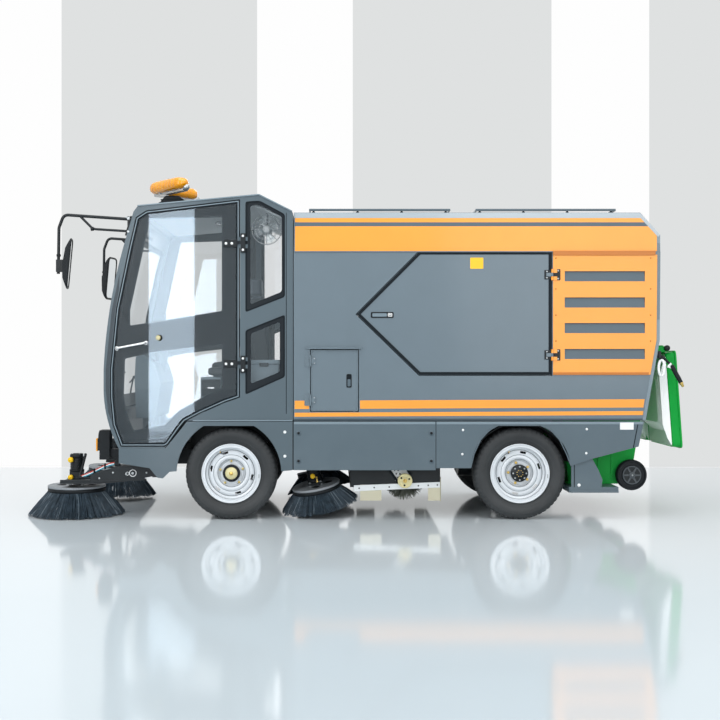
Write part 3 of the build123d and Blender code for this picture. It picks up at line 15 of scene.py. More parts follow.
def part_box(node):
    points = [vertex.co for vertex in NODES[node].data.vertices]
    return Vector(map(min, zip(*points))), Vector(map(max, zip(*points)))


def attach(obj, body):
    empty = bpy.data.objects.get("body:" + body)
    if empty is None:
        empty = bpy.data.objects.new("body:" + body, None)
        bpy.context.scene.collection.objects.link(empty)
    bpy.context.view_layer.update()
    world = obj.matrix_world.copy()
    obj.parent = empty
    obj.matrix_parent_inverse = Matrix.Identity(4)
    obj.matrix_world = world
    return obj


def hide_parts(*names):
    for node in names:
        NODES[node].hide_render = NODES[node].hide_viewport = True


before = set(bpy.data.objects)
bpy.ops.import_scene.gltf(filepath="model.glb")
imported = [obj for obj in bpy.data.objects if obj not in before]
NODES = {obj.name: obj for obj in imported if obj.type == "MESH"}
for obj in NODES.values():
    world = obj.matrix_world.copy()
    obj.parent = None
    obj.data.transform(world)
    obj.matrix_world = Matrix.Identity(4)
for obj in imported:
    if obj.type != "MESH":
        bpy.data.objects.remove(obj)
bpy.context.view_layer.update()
low_corner, high_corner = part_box("tyre_front_left")
FRONT_AXLE_X = (low_corner.x + high_corner.x) / 2

WHEELBASE, HALF_TRACK, AXLE_Z = 1880.0, 617.5, 300.0
BODY_HALF = 720.0
SKIRT_HALF = 728.0
LEFT, RIGHT = "left", "right"


def place(x, y, z):
    """A point in the frame's metres."""
    return Vector((x / 1000 + FRONT_AXLE_X, y / 1000, z / 1000))


# ---------------------------------------------------------------- materials
def linear(code):
    """Linear colour from a hex code."""
    channels = [int(code[i:i + 2], 16) / 255 for i in (0, 2, 4)]
    return [c / 12.92 if c <= 0.04045 else ((c + 0.055) / 1.055) ** 2.4 for c in channels]


def linked(name, data):
    """A new object in the scene."""
    made = bpy.data.objects.new(name, data)
    bpy.context.scene.collection.objects.link(made)
    return made


def new_material(name):
    """A material with its nodes, links and shader."""
    material = bpy.data.materials.new(name)
    material.use_nodes = True
    tree = material.node_tree
    return material, tree.nodes, tree.links, tree.nodes["Principled BSDF"]


def noise_of(nodes, links, where, scale, detail):
    """A noise texture in the object's own coordinates."""
    noise = nodes.new("ShaderNodeTexNoise")
    noise.inputs["Scale"].default_value = scale
    noise.inputs["Detail"].default_value = detail
    links.new(where.outputs["Object"], noise.inputs["Vector"])
    return noise


def seen_directly(nodes, links):
    """A socket that is 1 for what the camera, mirrors and glass see, and 0 for light that falls on things."""
    path = nodes.new("ShaderNodeLightPath")
    seen = path.outputs["Is Camera Ray"]
    for other in ("Is Glossy Ray", "Is Transmission Ray"):
        either = nodes.new("ShaderNodeMath")
        either.operation = "MAXIMUM"
        links.new(seen, either.inputs[0])
        links.new(path.outputs[other], either.inputs[1])
        seen = either.outputs["Value"]
    return seen


DUST_LOW, DUST_HIGH = 0.1, 0.75    # metres up: full dust, and none
DUST = "8c9091"
COAT_ROUGH = 0.12
LENS_IOR = 1.45


def finish_of(name, code, rough=0.5, metal=0.0, coat=0.0, mottle=0.05, mottle_scale=6.0, bump=0.0,
              bump_scale=400.0, rough_spread=0.08, dirt=0.0, transmission=0.0, alpha=1.0, emission=0.0,
              specular=0.5):
    """A procedural finish: colour that varies a little, uneven roughness, and a fine bump."""
    material, nodes, links, shader = new_material(name)
    shader.inputs["Metallic"].default_value = metal
    shader.inputs["Coat Weight"].default_value = coat
    shader.inputs["Coat Roughness"].default_value = COAT_ROUGH
    shader.inputs["Specular IOR Level"].default_value = specular
    shader.inputs["Transmission Weight"].default_value = transmission
    shader.inputs["IOR"].default_value = LENS_IOR
    shader.inputs["Alpha"].default_value = alpha
    where = nodes.new("ShaderNodeTexCoord")
    base = linear(code)
    broad = noise_of(nodes, links, where, mottle_scale, 4.0)
    ramp = nodes.new("ShaderNodeValToRGB")
    ramp.color_ramp.elements[0].position = 0.3
    ramp.color_ramp.elements[1].position = 0.7
    ramp.color_ramp.elements[0].color = [max(0.0, c * (1 - mottle)) for c in base] + [1]
    ramp.color_ramp.elements[1].color = [min(1.0, c * (1 + mottle)) for c in base] + [1]
    links.new(broad.outputs["Fac"], ramp.inputs["Fac"])
    colour = ramp.outputs["Color"]
    if dirt:
        split = nodes.new("ShaderNodeSeparateXYZ")
        links.new(where.outputs["Object"], split.inputs["Vector"])
        height = nodes.new("ShaderNodeMapRange")
        height.inputs["From Min"].default_value = DUST_HIGH
        height.inputs["From Max"].default_value = DUST_LOW
        links.new(split.outputs["Z"], height.inputs["Value"])
        share = nodes.new("ShaderNodeMath")
        share.operation = "MULTIPLY"
        links.new(height.outputs["Result"], share.inputs[0])
        links.new(broad.outputs["Fac"], share.inputs[1])
        amount = nodes.new("ShaderNodeMath")
        amount.operation = "MULTIPLY"
        amount.inputs[1].default_value = dirt
        links.new(share.outputs["Value"], amount.inputs[0])
        mix = nodes.new("ShaderNodeMix")
        mix.data_type = "RGBA"
        mix.inputs["B"].default_value = linear(DUST) + [1]
        links.new(amount.outputs["Value"], mix.inputs["Factor"])
        links.new(colour, mix.inputs["A"])
        colour = mix.outputs["Result"]
    links.new(colour, shader.inputs["Base Color"])
    if emission:
        links.new(colour, shader.inputs["Emission Color"])
        shader.inputs["Emission Strength"].default_value = emission
    wear = noise_of(nodes, links, where, mottle_scale * 7, 3.0)
    spread = nodes.new("ShaderNodeMapRange")
    spread.inputs["To Min"].default_value = max(0.02, rough - rough_spread)
    spread.inputs["To Max"].default_value = min(1.0, rough + rough_spread)
    links.new(wear.outputs["Fac"], spread.inputs["Value"])
    links.new(spread.outputs["Result"], shader.inputs["Roughness"])
    if bump:
        grain = noise_of(nodes, links, where, bump_scale, 2.0)
        relief = nodes.new("ShaderNodeBump")
        relief.inputs["Strength"].default_value = bump
        relief.inputs["Distance"].default_value = 0.001
        links.new(grain.outputs["Fac"], relief.inputs["Height"])
        links.new(relief.outputs["Normal"], shader.inputs["Normal"])
    return material


GREY = finish_of("grey_paint", "606f78", rough=0.38, coat=0.25, mottle=0.02, bump=0.05, bump_scale=250)
# a darker copy of the body grey: painted shade, on the skirts, platform and other parts, with real dust near the ground
GREY_SHADED = finish_of("grey_paint_shaded", "4d5d66", rough=0.42, coat=0.2, mottle=0.03, bump=0.05, bump_scale=250,
                     dirt=0.12)
GREY_CAB = finish_of("grey_paint_cab", "4a5961", rough=0.4, coat=0.2, mottle=0.025, bump=0.05, bump_scale=250)
# a lighter copy of the body grey for edges, lips and flanges: a painted highlight
EDGE_HIGHLIGHT = finish_of("grey_edge_highlight", "74848d", rough=0.35, coat=0.2, mottle=0.02)
# pale grey that paints the roof edge's reflection
ROOF_EDGE_SHEEN = finish_of("roof_edge_painted_sheen", "9faab0", rough=0.2, coat=0.5, mottle=0.02)
ORANGE = finish_of("orange_paint", "ee9a34", rough=0.36, coat=0.3, mottle=0.02, bump=0.04, bump_scale=250)
# a darker copy of the orange: painted shade
ORANGE_SHADE = finish_of("orange_shade", "b86a0c", rough=0.4, coat=0.2, mottle=0.02)
SLATE = finish_of("slate_strip", "4e5d66", rough=0.45, mottle=0.03, bump=0.04, bump_scale=250)
BLACK = finish_of("black_paint", "10171b", rough=0.42, specular=0.35, mottle=0.08, bump=0.06, bump_scale=300,
                  dirt=0.05)
PLASTIC = finish_of("black_plastic", "12171b", rough=0.55, specular=0.3, mottle=0.06, bump=0.25, bump_scale=500)
DASH = finish_of("dash_plastic", "6f7f88", rough=0.6, mottle=0.05, bump=0.3, bump_scale=450)
SEAL = finish_of("seal_rubber", "0c151b", rough=0.6, specular=0.2, mottle=0.05, bump=0.1)
FRIT = finish_of("glass_border", "0b161d", rough=0.3, specular=0.3, mottle=0.02, rough_spread=0.03)
GLASS = finish_of("glass", "a4b2ba", rough=0.02, rough_spread=0.0, metal=1.0, mottle=0.0, alpha=0.12)
TYRE = finish_of("tyre_rubber", "26292b", rough=0.62, mottle=0.12, bump=0.35, bump_scale=350, dirt=0.1)
STEEL_RIM = finish_of("rim_paint", "cfd4d8", rough=0.33, metal=0.15, mottle=0.04, bump=0.04, bump_scale=300)
STEEL = finish_of("bright_steel", "c9cccd", rough=0.25, metal=1.0, mottle=0.05)
ZINC = finish_of("zinc", "a9aeb0", rough=0.4, metal=0.9, mottle=0.1)
DISC = finish_of("disc_steel", "8f959a", rough=0.5, metal=0.2, mottle=0.1, bump=0.1, dirt=0.2)
# darker grey for painted shade in the rim's grooves
RIM_GROOVE_SHADE = finish_of("rim_groove_shade", "6d757a", rough=0.5)
BRASS = finish_of("brass", "cdb068", rough=0.28, metal=1.0, mottle=0.08)
YELLOW = finish_of("yellow_mark", "f2c414", rough=0.5, mottle=0.04)
CREAM = finish_of("cream_cap", "d8cf9e", rough=0.45, mottle=0.05)
WHITE = finish_of("white_plastic", "e8eaea", rough=0.45, mottle=0.02)
LABEL_YELLOW = finish_of("yellow_label", "f2bd22", rough=0.4, mottle=0.03)
AMBER = finish_of("amber_lens", "ffa206", rough=0.14, coat=0.4, mottle=0.16, mottle_scale=22, transmission=0.15)
# the red lenses glow faintly though their lamps are not lit: a painted glow
RED_LENS_GLOW = finish_of("red_lens_painted_glow", "b51a14", rough=0.15, coat=0.5, mottle=0.04, transmission=0.2, emission=0.08)
CLEAR_LENS = finish_of("clear_lens", "dfe6e8", rough=0.08, coat=0.5, mottle=0.02, transmission=0.6)
MIRROR = finish_of("mirror_face", "d5dadc", rough=0.03, metal=1.0, mottle=0.01, rough_spread=0.01)
GREEN = finish_of("green_plastic", "009c38", rough=0.45, specular=0.2, mottle=0.05, bump=0.3, bump_scale=380,
                  dirt=0.1)
BEIGE = finish_of("beige_rubber", "cfc9ad", rough=0.65, mottle=0.08, bump=0.2, dirt=0.4)
BRISTLE = finish_of("bristle_dark", "35424c", rough=0.6, mottle=0.35, mottle_scale=30, specular=0.3)
BRISTLE_LIGHT = finish_of("bristle_light", "74828c", rough=0.5, mottle=0.2, mottle_scale=40)
VINYL = finish_of("seat_vinyl", "56616a", rough=0.5, mottle=0.05, bump=0.5, bump_scale=260)
VINYL_DARK = finish_of("seat_vinyl_dark", "33393d", rough=0.55, mottle=0.05, bump=0.5, bump_scale=260)
TEAL = finish_of("teal_lead", "1f8fa8", rough=0.5, mottle=0.03)
RED = finish_of("red_lead", "b03326", rough=0.5, mottle=0.03)
HEADLINING = finish_of("headlining", "c8cdcf", rough=0.8, mottle=0.03, bump=0.4, bump_scale=300)
# dark strip: painted shade at the body's foot
FOOT_SHADE = finish_of("foot_painted_shade", "37444c", rough=0.5, mottle=0.03)
# dark strip that paints the front pillar's shade
PILLAR_PAINTED_SHADE = finish_of("pillar_painted_shade", "2b363d", rough=0.4, mottle=0.03)
ROLLER_BRISTLE = finish_of("roller_bristle", "565a50", rough=0.7, mottle=0.3, mottle_scale=40)
GLASS_DARK = finish_of("dark_screen", "0c1114", rough=0.1, mottle=0.02)
STRIP = finish_of("strip_steel", "dfe3e4", rough=0.4, metal=0.15, mottle=0.04, bump=0.05)
LID_PALE = finish_of("lid_pale", "fafcfa", rough=0.35, mottle=0.02, bump=0.2, bump_scale=380)
HUB_GREY = finish_of("hub_plastic", "4a5054", rough=0.5, mottle=0.05, bump=0.2)


# ---------------------------------------------------------------- piece building
BOX_FACES = [(0, 1, 3, 2), (4, 6, 7, 5), (0, 4, 5, 1), (2, 3, 7, 6), (0, 2, 6, 4), (1, 5, 7, 3)]


def side_faces(n):
    """Quads between two loops of n points, where the second loop's points follow the first's."""
    return [(i, (i + 1) % n, n + (i + 1) % n, n + i) for i in range(n)]


def closed_faces(n):
    """Faces of the solid between two such loops."""
    return [tuple(range(n)), tuple(range(2 * n - 1, n - 1, -1))] + side_faces(n)


class Piece:
    """Collects parts of one piece in millimetres, each with its material."""

    def __init__(self):
        """Starts an empty piece."""
        self.mesh = bmesh.new()
        self.materials = []

    def slot_of(self, material):
        """The index of a material on this piece."""
        if material not in self.materials:
            self.materials.append(material)
        return self.materials.index(material)

    def add(self, points, faces, material, smooth=False, bevel=0.0, segments=2):
        """Faces over points; bevel rounds every edge."""
        part = bmesh.new()
        verts = [part.verts.new(p) for p in points]
        for face in faces:
            part.faces.new([verts[i] for i in face])
        bmesh.ops.recalc_face_normals(part, faces=part.faces)
        if bevel:
            bmesh.ops.bevel(part, geom=list(part.edges), offset=bevel, segments=segments, affect="EDGES",
                            profile=0.5, clamp_overlap=True)
        self.take(part, material, smooth)

    def take(self, part, material, smooth=False):
        """Moves a bmesh of its own into the piece."""
        index = self.slot_of(material)
        for face in part.faces:
            face.material_index = index
            face.smooth = smooth
        holder = bpy.data.meshes.new("holder")
        part.to_mesh(holder)
        part.free()
        self.mesh.from_mesh(holder)
        bpy.data.meshes.remove(holder)

    def box(self, x, y, z, material, bevel=0.0, turn=None):
        """Box between limits; turn is (centre, axis, degrees)."""
        points = [Vector((a, b, c)) for a in sorted(x) for b in sorted(y) for c in sorted(z)]
        if turn:
            centre, axis, angle = turn
            spin = Matrix.Rotation(math.radians(angle), 3, axis)
            points = [spin @ (p - Vector(centre)) + Vector(centre) for p in points]
        self.add(points, BOX_FACES, material, bevel=bevel)

    def prism(self, outline, y0, y1, material, bevel=0.0, map_point=None):
        """A side-view polygon of (x, z) between two widths; map_point bends it afterwards."""
        points = [(x, y, z) for y in (y0, y1) for x, z in outline]
        if map_point:
            points = [map_point(*p) for p in points]
        self.add(points, closed_faces(len(outline)), material, bevel=bevel)

    def ring(self, outer, inner, y0, y1, material, bevel=0.0):
        """A flat frame between two side-view polygons with as many corners each."""
        n = len(outer)
        points = []
        for y in (y0, y1):
            points += [(x, y, z) for x, z in outer] + [(x, y, z) for x, z in inner]
        faces = []
        for i in range(n):
            j = (i + 1) % n
            faces.append((i, j, n + j, n + i))
            faces.append((2 * n + i, 3 * n + i, 3 * n + j, 2 * n + j))
            faces.append((i, 2 * n + i, 2 * n + j, j))
            faces.append((n + i, n + j, 3 * n + j, 3 * n + i))
        self.add(points, faces, material, bevel=bevel)

    def lathe(self, profile, origin, axis, material, sides=32, smooth=True):
        """Revolved closed or open profile of (radius, distance along the axis)."""
        turn = Vector(axis).to_track_quat("Z", "Y").to_matrix()
        origin = Vector(origin)
        part = bmesh.new()
        rings = []
        for radius, along in profile:
            if radius < 0.001:
                rings.append([part.verts.new(origin + turn @ Vector((0, 0, along)))])
                continue
            rings.append([part.verts.new(origin + turn @ Vector((radius * math.cos(a), radius * math.sin(a), along)))
                          for a in (2 * math.pi * i / sides for i in range(sides))])
        for low, high in zip(rings, rings[1:]):
            for i in range(sides):
                j = (i + 1) % sides
                corners = [low[i % len(low)], low[j % len(low)], high[j % len(high)], high[i % len(high)]]
                distinct = list(dict.fromkeys(corners))
                if len(distinct) > 2:
                    part.faces.new(distinct)
        bmesh.ops.recalc_face_normals(part, faces=part.faces)
        self.take(part, material, smooth)

    def rod(self, start, end, radius, material, sides=20, chamfer=0.0):
        """A round bar with chamfered ends."""
        start, end = Vector(start), Vector(end)
        length = (end - start).length
        c = chamfer
        profile = [(0, 0), (radius - c, 0), (radius, c), (radius, length - c), (radius - c, length), (0, length)]
        if not c:
            profile = [(0, 0), (radius, 0), (radius, length), (0, length)]
        self.lathe(profile, start, end - start, material, sides, smooth=False)

    def tube(self, points, radius, material, sides=10, bend=30.0, steps=6, closed=False):
        """A round tube through corner points with rounded corners."""
        path = rounded_path([Vector(p) for p in points], bend, steps, closed)
        part = bmesh.new()
        rings = []
        normal = None
        count = len(path)
        for i, p in enumerate(path):
            ahead = path[(i + 1) % count] if closed or i + 1 < count else p
            behind = path[i - 1] if closed or i else p
            along = (ahead - behind).normalized()
            if normal is None:
                normal = along.orthogonal().normalized()
            normal = (normal - along * normal.dot(along)).normalized()
            other = along.cross(normal)
            rings.append([part.verts.new(p + radius * (math.cos(a) * normal + math.sin(a) * other))
                          for a in (2 * math.pi * k / sides for k in range(sides))])
        pairs = list(zip(rings, rings[1:])) + ([(rings[-1], rings[0])] if closed else [])
        for low, high in pairs:
            for k in range(sides):
                part.faces.new((low[k], low[(k + 1) % sides], high[(k + 1) % sides], high[k]))
        if not closed:
            part.faces.new(rings[0])
            part.faces.new(rings[-1])
        bmesh.ops.recalc_face_normals(part, faces=part.faces)
        self.take(part, material, True)

    def bolt(self, at, axis, size, material=ZINC, washer=True):
        """A hexagon head on its washer; size is the head's half width."""
        if washer:
            self.lathe([(0, 0), (size * 1.5, 0), (size * 1.5, 1.6), (0, 1.6)], at, axis, material, 20, False)
        self.lathe([(0, 1), (size * 1.15, 1), (size * 1.15, size * 0.8), (size * 0.95, size), (0, size)], at, axis,
                   material, 6, False)

    def dome(self, at, axis, size, material=ZINC):
        """A button-head screw."""
        self.lathe([(size, 0), (size * 0.95, size * 0.25), (size * 0.6, size * 0.48), (0, size * 0.55)], at, axis,
                   material, 16)

    def make(self, name, body, mirror=False):
        """The finished object, riding on its body."""
        for v in self.mesh.verts:
            v.co = place(v.co.x, -v.co.y if mirror else v.co.y, v.co.z)
        if mirror:
            bmesh.ops.reverse_faces(self.mesh, faces=self.mesh.faces)
        data = bpy.data.meshes.new(name)
        self.mesh.to_mesh(data)
        self.mesh.free()
        for material in self.materials:
            data.materials.append(material)
        made = linked(name, data)
        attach(made, body)
        return made


def rounded_path(points, bend, steps, closed=False):
    """Points along a line whose corners are rounded with up to that radius."""
    count = len(points)
    path = []
    for i, corner in enumerate(points):
        if not closed and i in (0, count - 1):
            path.append(corner)
            continue
        before, after = points[i - 1], points[(i + 1) % count]
        reach = min(bend, 0.45 * (corner - before).length, 0.45 * (after - corner).length)
        start = corner + (before - corner).normalized() * reach
        end = corner + (after - corner).normalized() * reach
        for k in range(steps + 1):
            t = k / steps
            path.append((1 - t) ** 2 * start + 2 * t * (1 - t) * corner + t * t * end)
    return path


def round_axle(centre, radius, angle):
    """A point round a cross axle, by its angle in the side view."""
    x, y, z = centre
    return x + radius * math.cos(angle), y, z + radius * math.sin(angle)


def grown(outline, distance):
    """A side-view polygon with its edges moved outwards, or inwards for a negative distance."""
    area = sum(x0 * z1 - x1 * z0 for (x0, z0), (x1, z1) in zip(outline, outline[1:] + outline[:1]))
    sign = 1 if area > 0 else -1
    moved = []
    count = len(outline)
    for i in range(count):
        p0, p1, p2 = (Vector(outline[(i + k) % count]) for k in (-1, 0, 1))
        u, v = (p1 - p0).normalized(), (p2 - p1).normalized()
        nu, nv = Vector((u.y, -u.x)) * sign, Vector((v.y, -v.x)) * sign
        bisector = (nu + nv).normalized()
        moved.append(tuple(p1 + bisector * distance / max(0.3, bisector.dot(nu))))
    return moved


def round_corners(outline, radius, steps=5):
    """A side-view polygon with rounded corners."""
    path = rounded_path([Vector((x, 0, z)) for x, z in outline], radius, steps, True)
    return [(p.x, p.z) for p in path]


def both(name, build, body, replaced=()):
    """The left and right copies of a piece that one function draws; body and replaced hold {} for the side."""
    for side in (LEFT, RIGHT):
        piece = Piece()
        build(piece)
        made = piece.make(f"{name}_{side}", body.format(side), mirror=side == RIGHT)
        if replaced:
            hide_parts(*[node.format(side) for node in replaced])


def coat(material, *names):
    """Gives CAD nodes a finish."""
    for name in names:
        for node in (n for n in NODES if n == name or (name.endswith("*") and n.startswith(name[:-1]))):
            data = NODES[node].data
            data.materials.clear()
            data.materials.append(material)


# ---------------------------------------------------------------- camera, light and floor
def shown_white(name, code, rough):
    """A matt material that the camera, mirrors and glass see at its own colour, and that light falls on as usual."""
    material, nodes, links, shader = new_material(name)
    shader.inputs["Base Color"].default_value = linear(code) + [1]
    shader.inputs["Roughness"].default_value = rough
    plain = nodes.new("ShaderNodeEmission")
    plain.inputs["Color"].default_value = linear(code) + [1]
    mix = nodes.new("ShaderNodeMixShader")
    links.new(seen_directly(nodes, links), mix.inputs["Fac"])
    links.new(shader.outputs["BSDF"], mix.inputs[1])
    links.new(plain.outputs["Emission"], mix.inputs[2])
    links.new(mix.outputs["Shader"], nodes["Material Output"].inputs["Surface"])
    return material


def stage_panel(name, points, material):
    """A flat staging surface through corner points in millimetres."""
    part = bmesh.new()
    part.faces.new([part.verts.new(place(*p)) for p in points])
    data = bpy.data.meshes.new(name)
    part.to_mesh(data)
    part.free()
    data.materials.append(material)
    made = linked(name, data)


CAMERA_X, CAMERA_Y, CAMERA_Z = 670, -7705, 1053
CAMERA_LENS, CAMERA_SHIFT = 53.85, (0.036, -0.003)
NEAR_FLOOR_END = 2650.0
WALL_Y = 11000.0
WALL_HALF, WALL_HIGH = 27000, 16000
BAYS = ((-1950.0, -70.0), (850.0, 2760.0), (3700.0, 5600.0))    # pale bays, as wide as at the floor's edge
BAY_LIFT = 30                                                   # so far the bays stand before the wall
FLOOR_NEAR, FLOOR_FAR = "c6d1d6", "e9eef0"
SKY_STRENGTH = 0.62
LAMPS = (("top", (600, -1200, 5200), (900, 0, 800), 5.0, 170),  # name, place, aim, size in metres, watts
         ("front", (-3200, -5200, 3200), (800, 0, 900), 4.0, 150),
         ("side", (3800, -5600, 2600), (900, 0, 900), 4.0, 110),
         ("back", (1500, 5600, 3800), (900, 0, 900), 4.0, 90))
PANEL_POWER = 46
PANEL_AT, PANEL_AIM = (-1633, -9000, 1650), (-385, -720, 1300)


def backdrop():
    """White ground and a white wall well behind the truck, with broad pale bays that run up both."""
    white, pale = shown_white("wall_white", "fefefe", 0.9), shown_white("wall_pale", "dfe1e1", 0.9)
    y0, y1, wide, high = NEAR_FLOOR_END, WALL_Y, WALL_HALF, WALL_HIGH
    bay_end = y1 - BAY_LIFT
    stage_panel("far_floor", [(-wide, y0, 0), (wide, y0, 0), (wide, y1, 0), (-wide, y1, 0)], white)
    stage_panel("wall", [(-wide, y1, 0), (wide, y1, 0), (wide, y1, high), (-wide, y1, high)], white)
    for index, bay in enumerate(BAYS):
        # the sides of a bay run along the camera's lines of sight, so it keeps its width in the picture
        near, far = ([CAMERA_X + (x - CAMERA_X) * (y - CAMERA_Y) / (y0 - CAMERA_Y) for x in bay]
                     for y in (y0, bay_end))
        stage_panel(f"bay_floor_{index}", [(near[0], y0, 2), (near[1], y0, 2), (far[1], bay_end, 2),
                                           (far[0], bay_end, 2)], pale)
        stage_panel(f"bay_{index}", [(far[0], bay_end, 0), (far[1], bay_end, 0), (far[1], bay_end, high),
                                     (far[0], bay_end, high)], pale)


def aim_lamp(lamp, at, aim):
    """Puts a lamp at a place and turns it towards another, both in millimetres."""
    lamp.location = place(*at)
    lamp.rotation_euler = (place(*aim) - place(*at)).to_track_quat("-Z", "Y").to_euler()


def studio():
    """Camera at the photograph's place, a pale floor, and soft even light."""
    camera = linked("camera", bpy.data.cameras.new("camera"))
    camera.location = place(CAMERA_X, CAMERA_Y, CAMERA_Z)
    camera.rotation_euler = (math.radians(90), 0, 0)
    camera.data.sensor_width = 36
    camera.data.lens = CAMERA_LENS
    camera.data.shift_x, camera.data.shift_y = CAMERA_SHIFT
    camera.data.clip_end = 100
    bpy.context.scene.camera = camera

    # the floor pales towards the wall
    floor_material, nodes, links, shader = new_material("floor")
    where, split = nodes.new("ShaderNodeTexCoord"), nodes.new("ShaderNodeSeparateXYZ")
    depth, fade = nodes.new("ShaderNodeMapRange"), nodes.new("ShaderNodeValToRGB")
    depth.inputs["From Min"].default_value = -3.0
    depth.inputs["From Max"].default_value = 2.6
    fade.color_ramp.elements[0].color = linear(FLOOR_NEAR) + [1]
    fade.color_ramp.elements[1].color = linear(FLOOR_FAR) + [1]
    links.new(where.outputs["Object"], split.inputs["Vector"])
    links.new(split.outputs["Y"], depth.inputs["Value"])
    links.new(depth.outputs["Result"], fade.inputs["Fac"])
    links.new(fade.outputs["Color"], shader.inputs["Base Color"])
    shader.inputs["Roughness"].default_value = 0.09
    shader.inputs["Specular IOR Level"].default_value = 0.9
    part = bmesh.new()
    half = 30.0
    far = NEAR_FLOOR_END / 1000
    for x, y in ((-half, -half), (half, -half), (half, far), (-half, far)):
        part.verts.new((x, y, 0))
    part.faces.new(part.verts)
    data = bpy.data.meshes.new("floor")
    part.to_mesh(data)
    part.free()
    data.materials.append(floor_material)
    floor = linked("floor", data)
    backdrop()

    world = bpy.data.worlds.new("world")
    world.use_nodes = True
    bpy.context.scene.world = world
    nodes, links = world.node_tree.nodes, world.node_tree.links
    out = nodes["World Output"]
    light = nodes["Background"]
    light.inputs["Color"].default_value = (0.93, 0.96, 1.0, 1)
    light.inputs["Strength"].default_value = SKY_STRENGTH
    shown = nodes.new("ShaderNodeBackground")
    shown.inputs["Color"].default_value = (0.93, 0.94, 0.945, 1)
    shown.inputs["Strength"].default_value = 1.0
    mix = nodes.new("ShaderNodeMixShader")
    links.new(seen_directly(nodes, links), mix.inputs["Fac"])
    links.new(light.outputs["Background"], mix.inputs[1])
    links.new(shown.outputs["Background"], mix.inputs[2])
    links.new(mix.outputs["Shader"], out.inputs["Surface"])

    for name, at, aim, size, power in LAMPS:
        lamp = bpy.data.lights.new(name, "AREA")
        lamp.shape = "SQUARE"
        lamp.size = size
        lamp.energy = power
        aim_lamp(linked(name, lamp), at, aim)
    # a tall soft box behind the camera, which the door's glass mirrors
    panel = bpy.data.lights.new("panel", "AREA")
    panel.shape = "RECTANGLE"
    panel.size, panel.size_y = 0.64, 3.3
    panel.energy = PANEL_POWER
    panel.color = (0.9, 0.93, 1.0)
    aim_lamp(linked("panel", panel), PANEL_AT, PANEL_AIM)
    bpy.context.scene.view_settings.view_transform = "Standard"


studio()

# ---------------------------------------------------------------- finishes of the CAD nodes
coat(GREY_CAB, "cab_frame", "cab_skirts")
coat(GREY, "body_sides", "body_shell", "service_door_*", "hatch_*", "rear_hatch", "roof_covers")
# the skirts and the bin platform take the darker grey as painted shade
coat(GREY_SHADED, "body_skirts", "bin_platform")
coat(BLACK, "frame_rails", "leaf_springs", "front_axle", "rear_axle", "tie_rod", "knuckle_*", "side_arm_*",
     "mid_brush_mounts", "sweep_housing", "mirror_arms", "beacon_mount")
coat(FRIT, "cab_door_left", "cab_door_right")
coat(GLASS, "cab_glass", "door_glass_*")
coat(PLASTIC, "cab_floor", "mirror_heads", "lamps", "battery_pack", "spray_gun")
coat(DASH, "dashboard")
coat(VINYL, "driver_seat")
coat(AMBER, "beacon_lens")
coat(ORANGE, "louvre_panels")
coat(SLATE, "louvre_slats")
coat(GREEN, "bins", "bin_lid_*")
coat(PLASTIC, "bin_wheels_*")
coat(TYRE, "tyre_*")
coat(STEEL_RIM, "rim_*")
coat(BEIGE, "rubber_skirts")
coat(BRISTLE, "side_brush_*", "mid_brush_left", "mid_brush_right", "roller_brush")


# ---------------------------------------------------------------- wheels
TYRE_HALF = 87.5
HUB_OUT = 62.0


def tyre(piece, x):
    """Tyre with ribbed sidewall, shoulder lugs and a grooved tread."""
    # half section as (radius, share of the half width), bead to crown
    wall = [(178, .70), (188, .76), (196, .77), (200, .80), (203, .80), (206, .82), (216, .88), (219, .905),
            (222, .905), (228, .93), (240, .985), (252, 1.0), (262, .985), (266, .985), (268, .965), (276, .94)]
    shoulder = [(283, .90), (291, .83), (295, .76)]
    crown = [(297.5, .70), (297.5, .56), (289.5, .545), (289.5, .475), (298.8, .46), (299.4, .24), (290.5, .225),
             (290.5, .155), (299.8, .14), (300, 0)]
    half = wall + shoulder + crown
    section = [(r, s) for r, s in half] + [(r, -s) for r, s in reversed(half[:-1])]
    lugs, per_lug = 54, 6
    count = lugs * per_lug
    part = bmesh.new()
    rings = []
    for i in range(count):
        angle = 2 * math.pi * i / count
        step = i % per_lug
        ring = []
        for r, s in section:
            radius, share = r, s
            groove = step in (0, 1)
            if abs(s) >= .70 and r >= 283 and groove:
                radius, share = r - 2.6, s * 0.975
            elif .24 <= abs(s) < .56 and r > 295 and step == (3 if s > 0 else 0):
                radius = r - 5.0
            ring.append(part.verts.new((x + radius * math.cos(angle), share * TYRE_HALF - HALF_TRACK,
                                        AXLE_Z + radius * math.sin(angle))))
        rings.append(ring)
    for a, b in zip(rings, rings[1:] + rings[:1]):
        for k in range(len(section)):
            m = (k + 1) % len(section)
            part.faces.new((a[k], a[m], b[m], b[k]))
    bmesh.ops.recalc_face_normals(part, faces=part.faces)
    piece.take(part, TYRE, True)


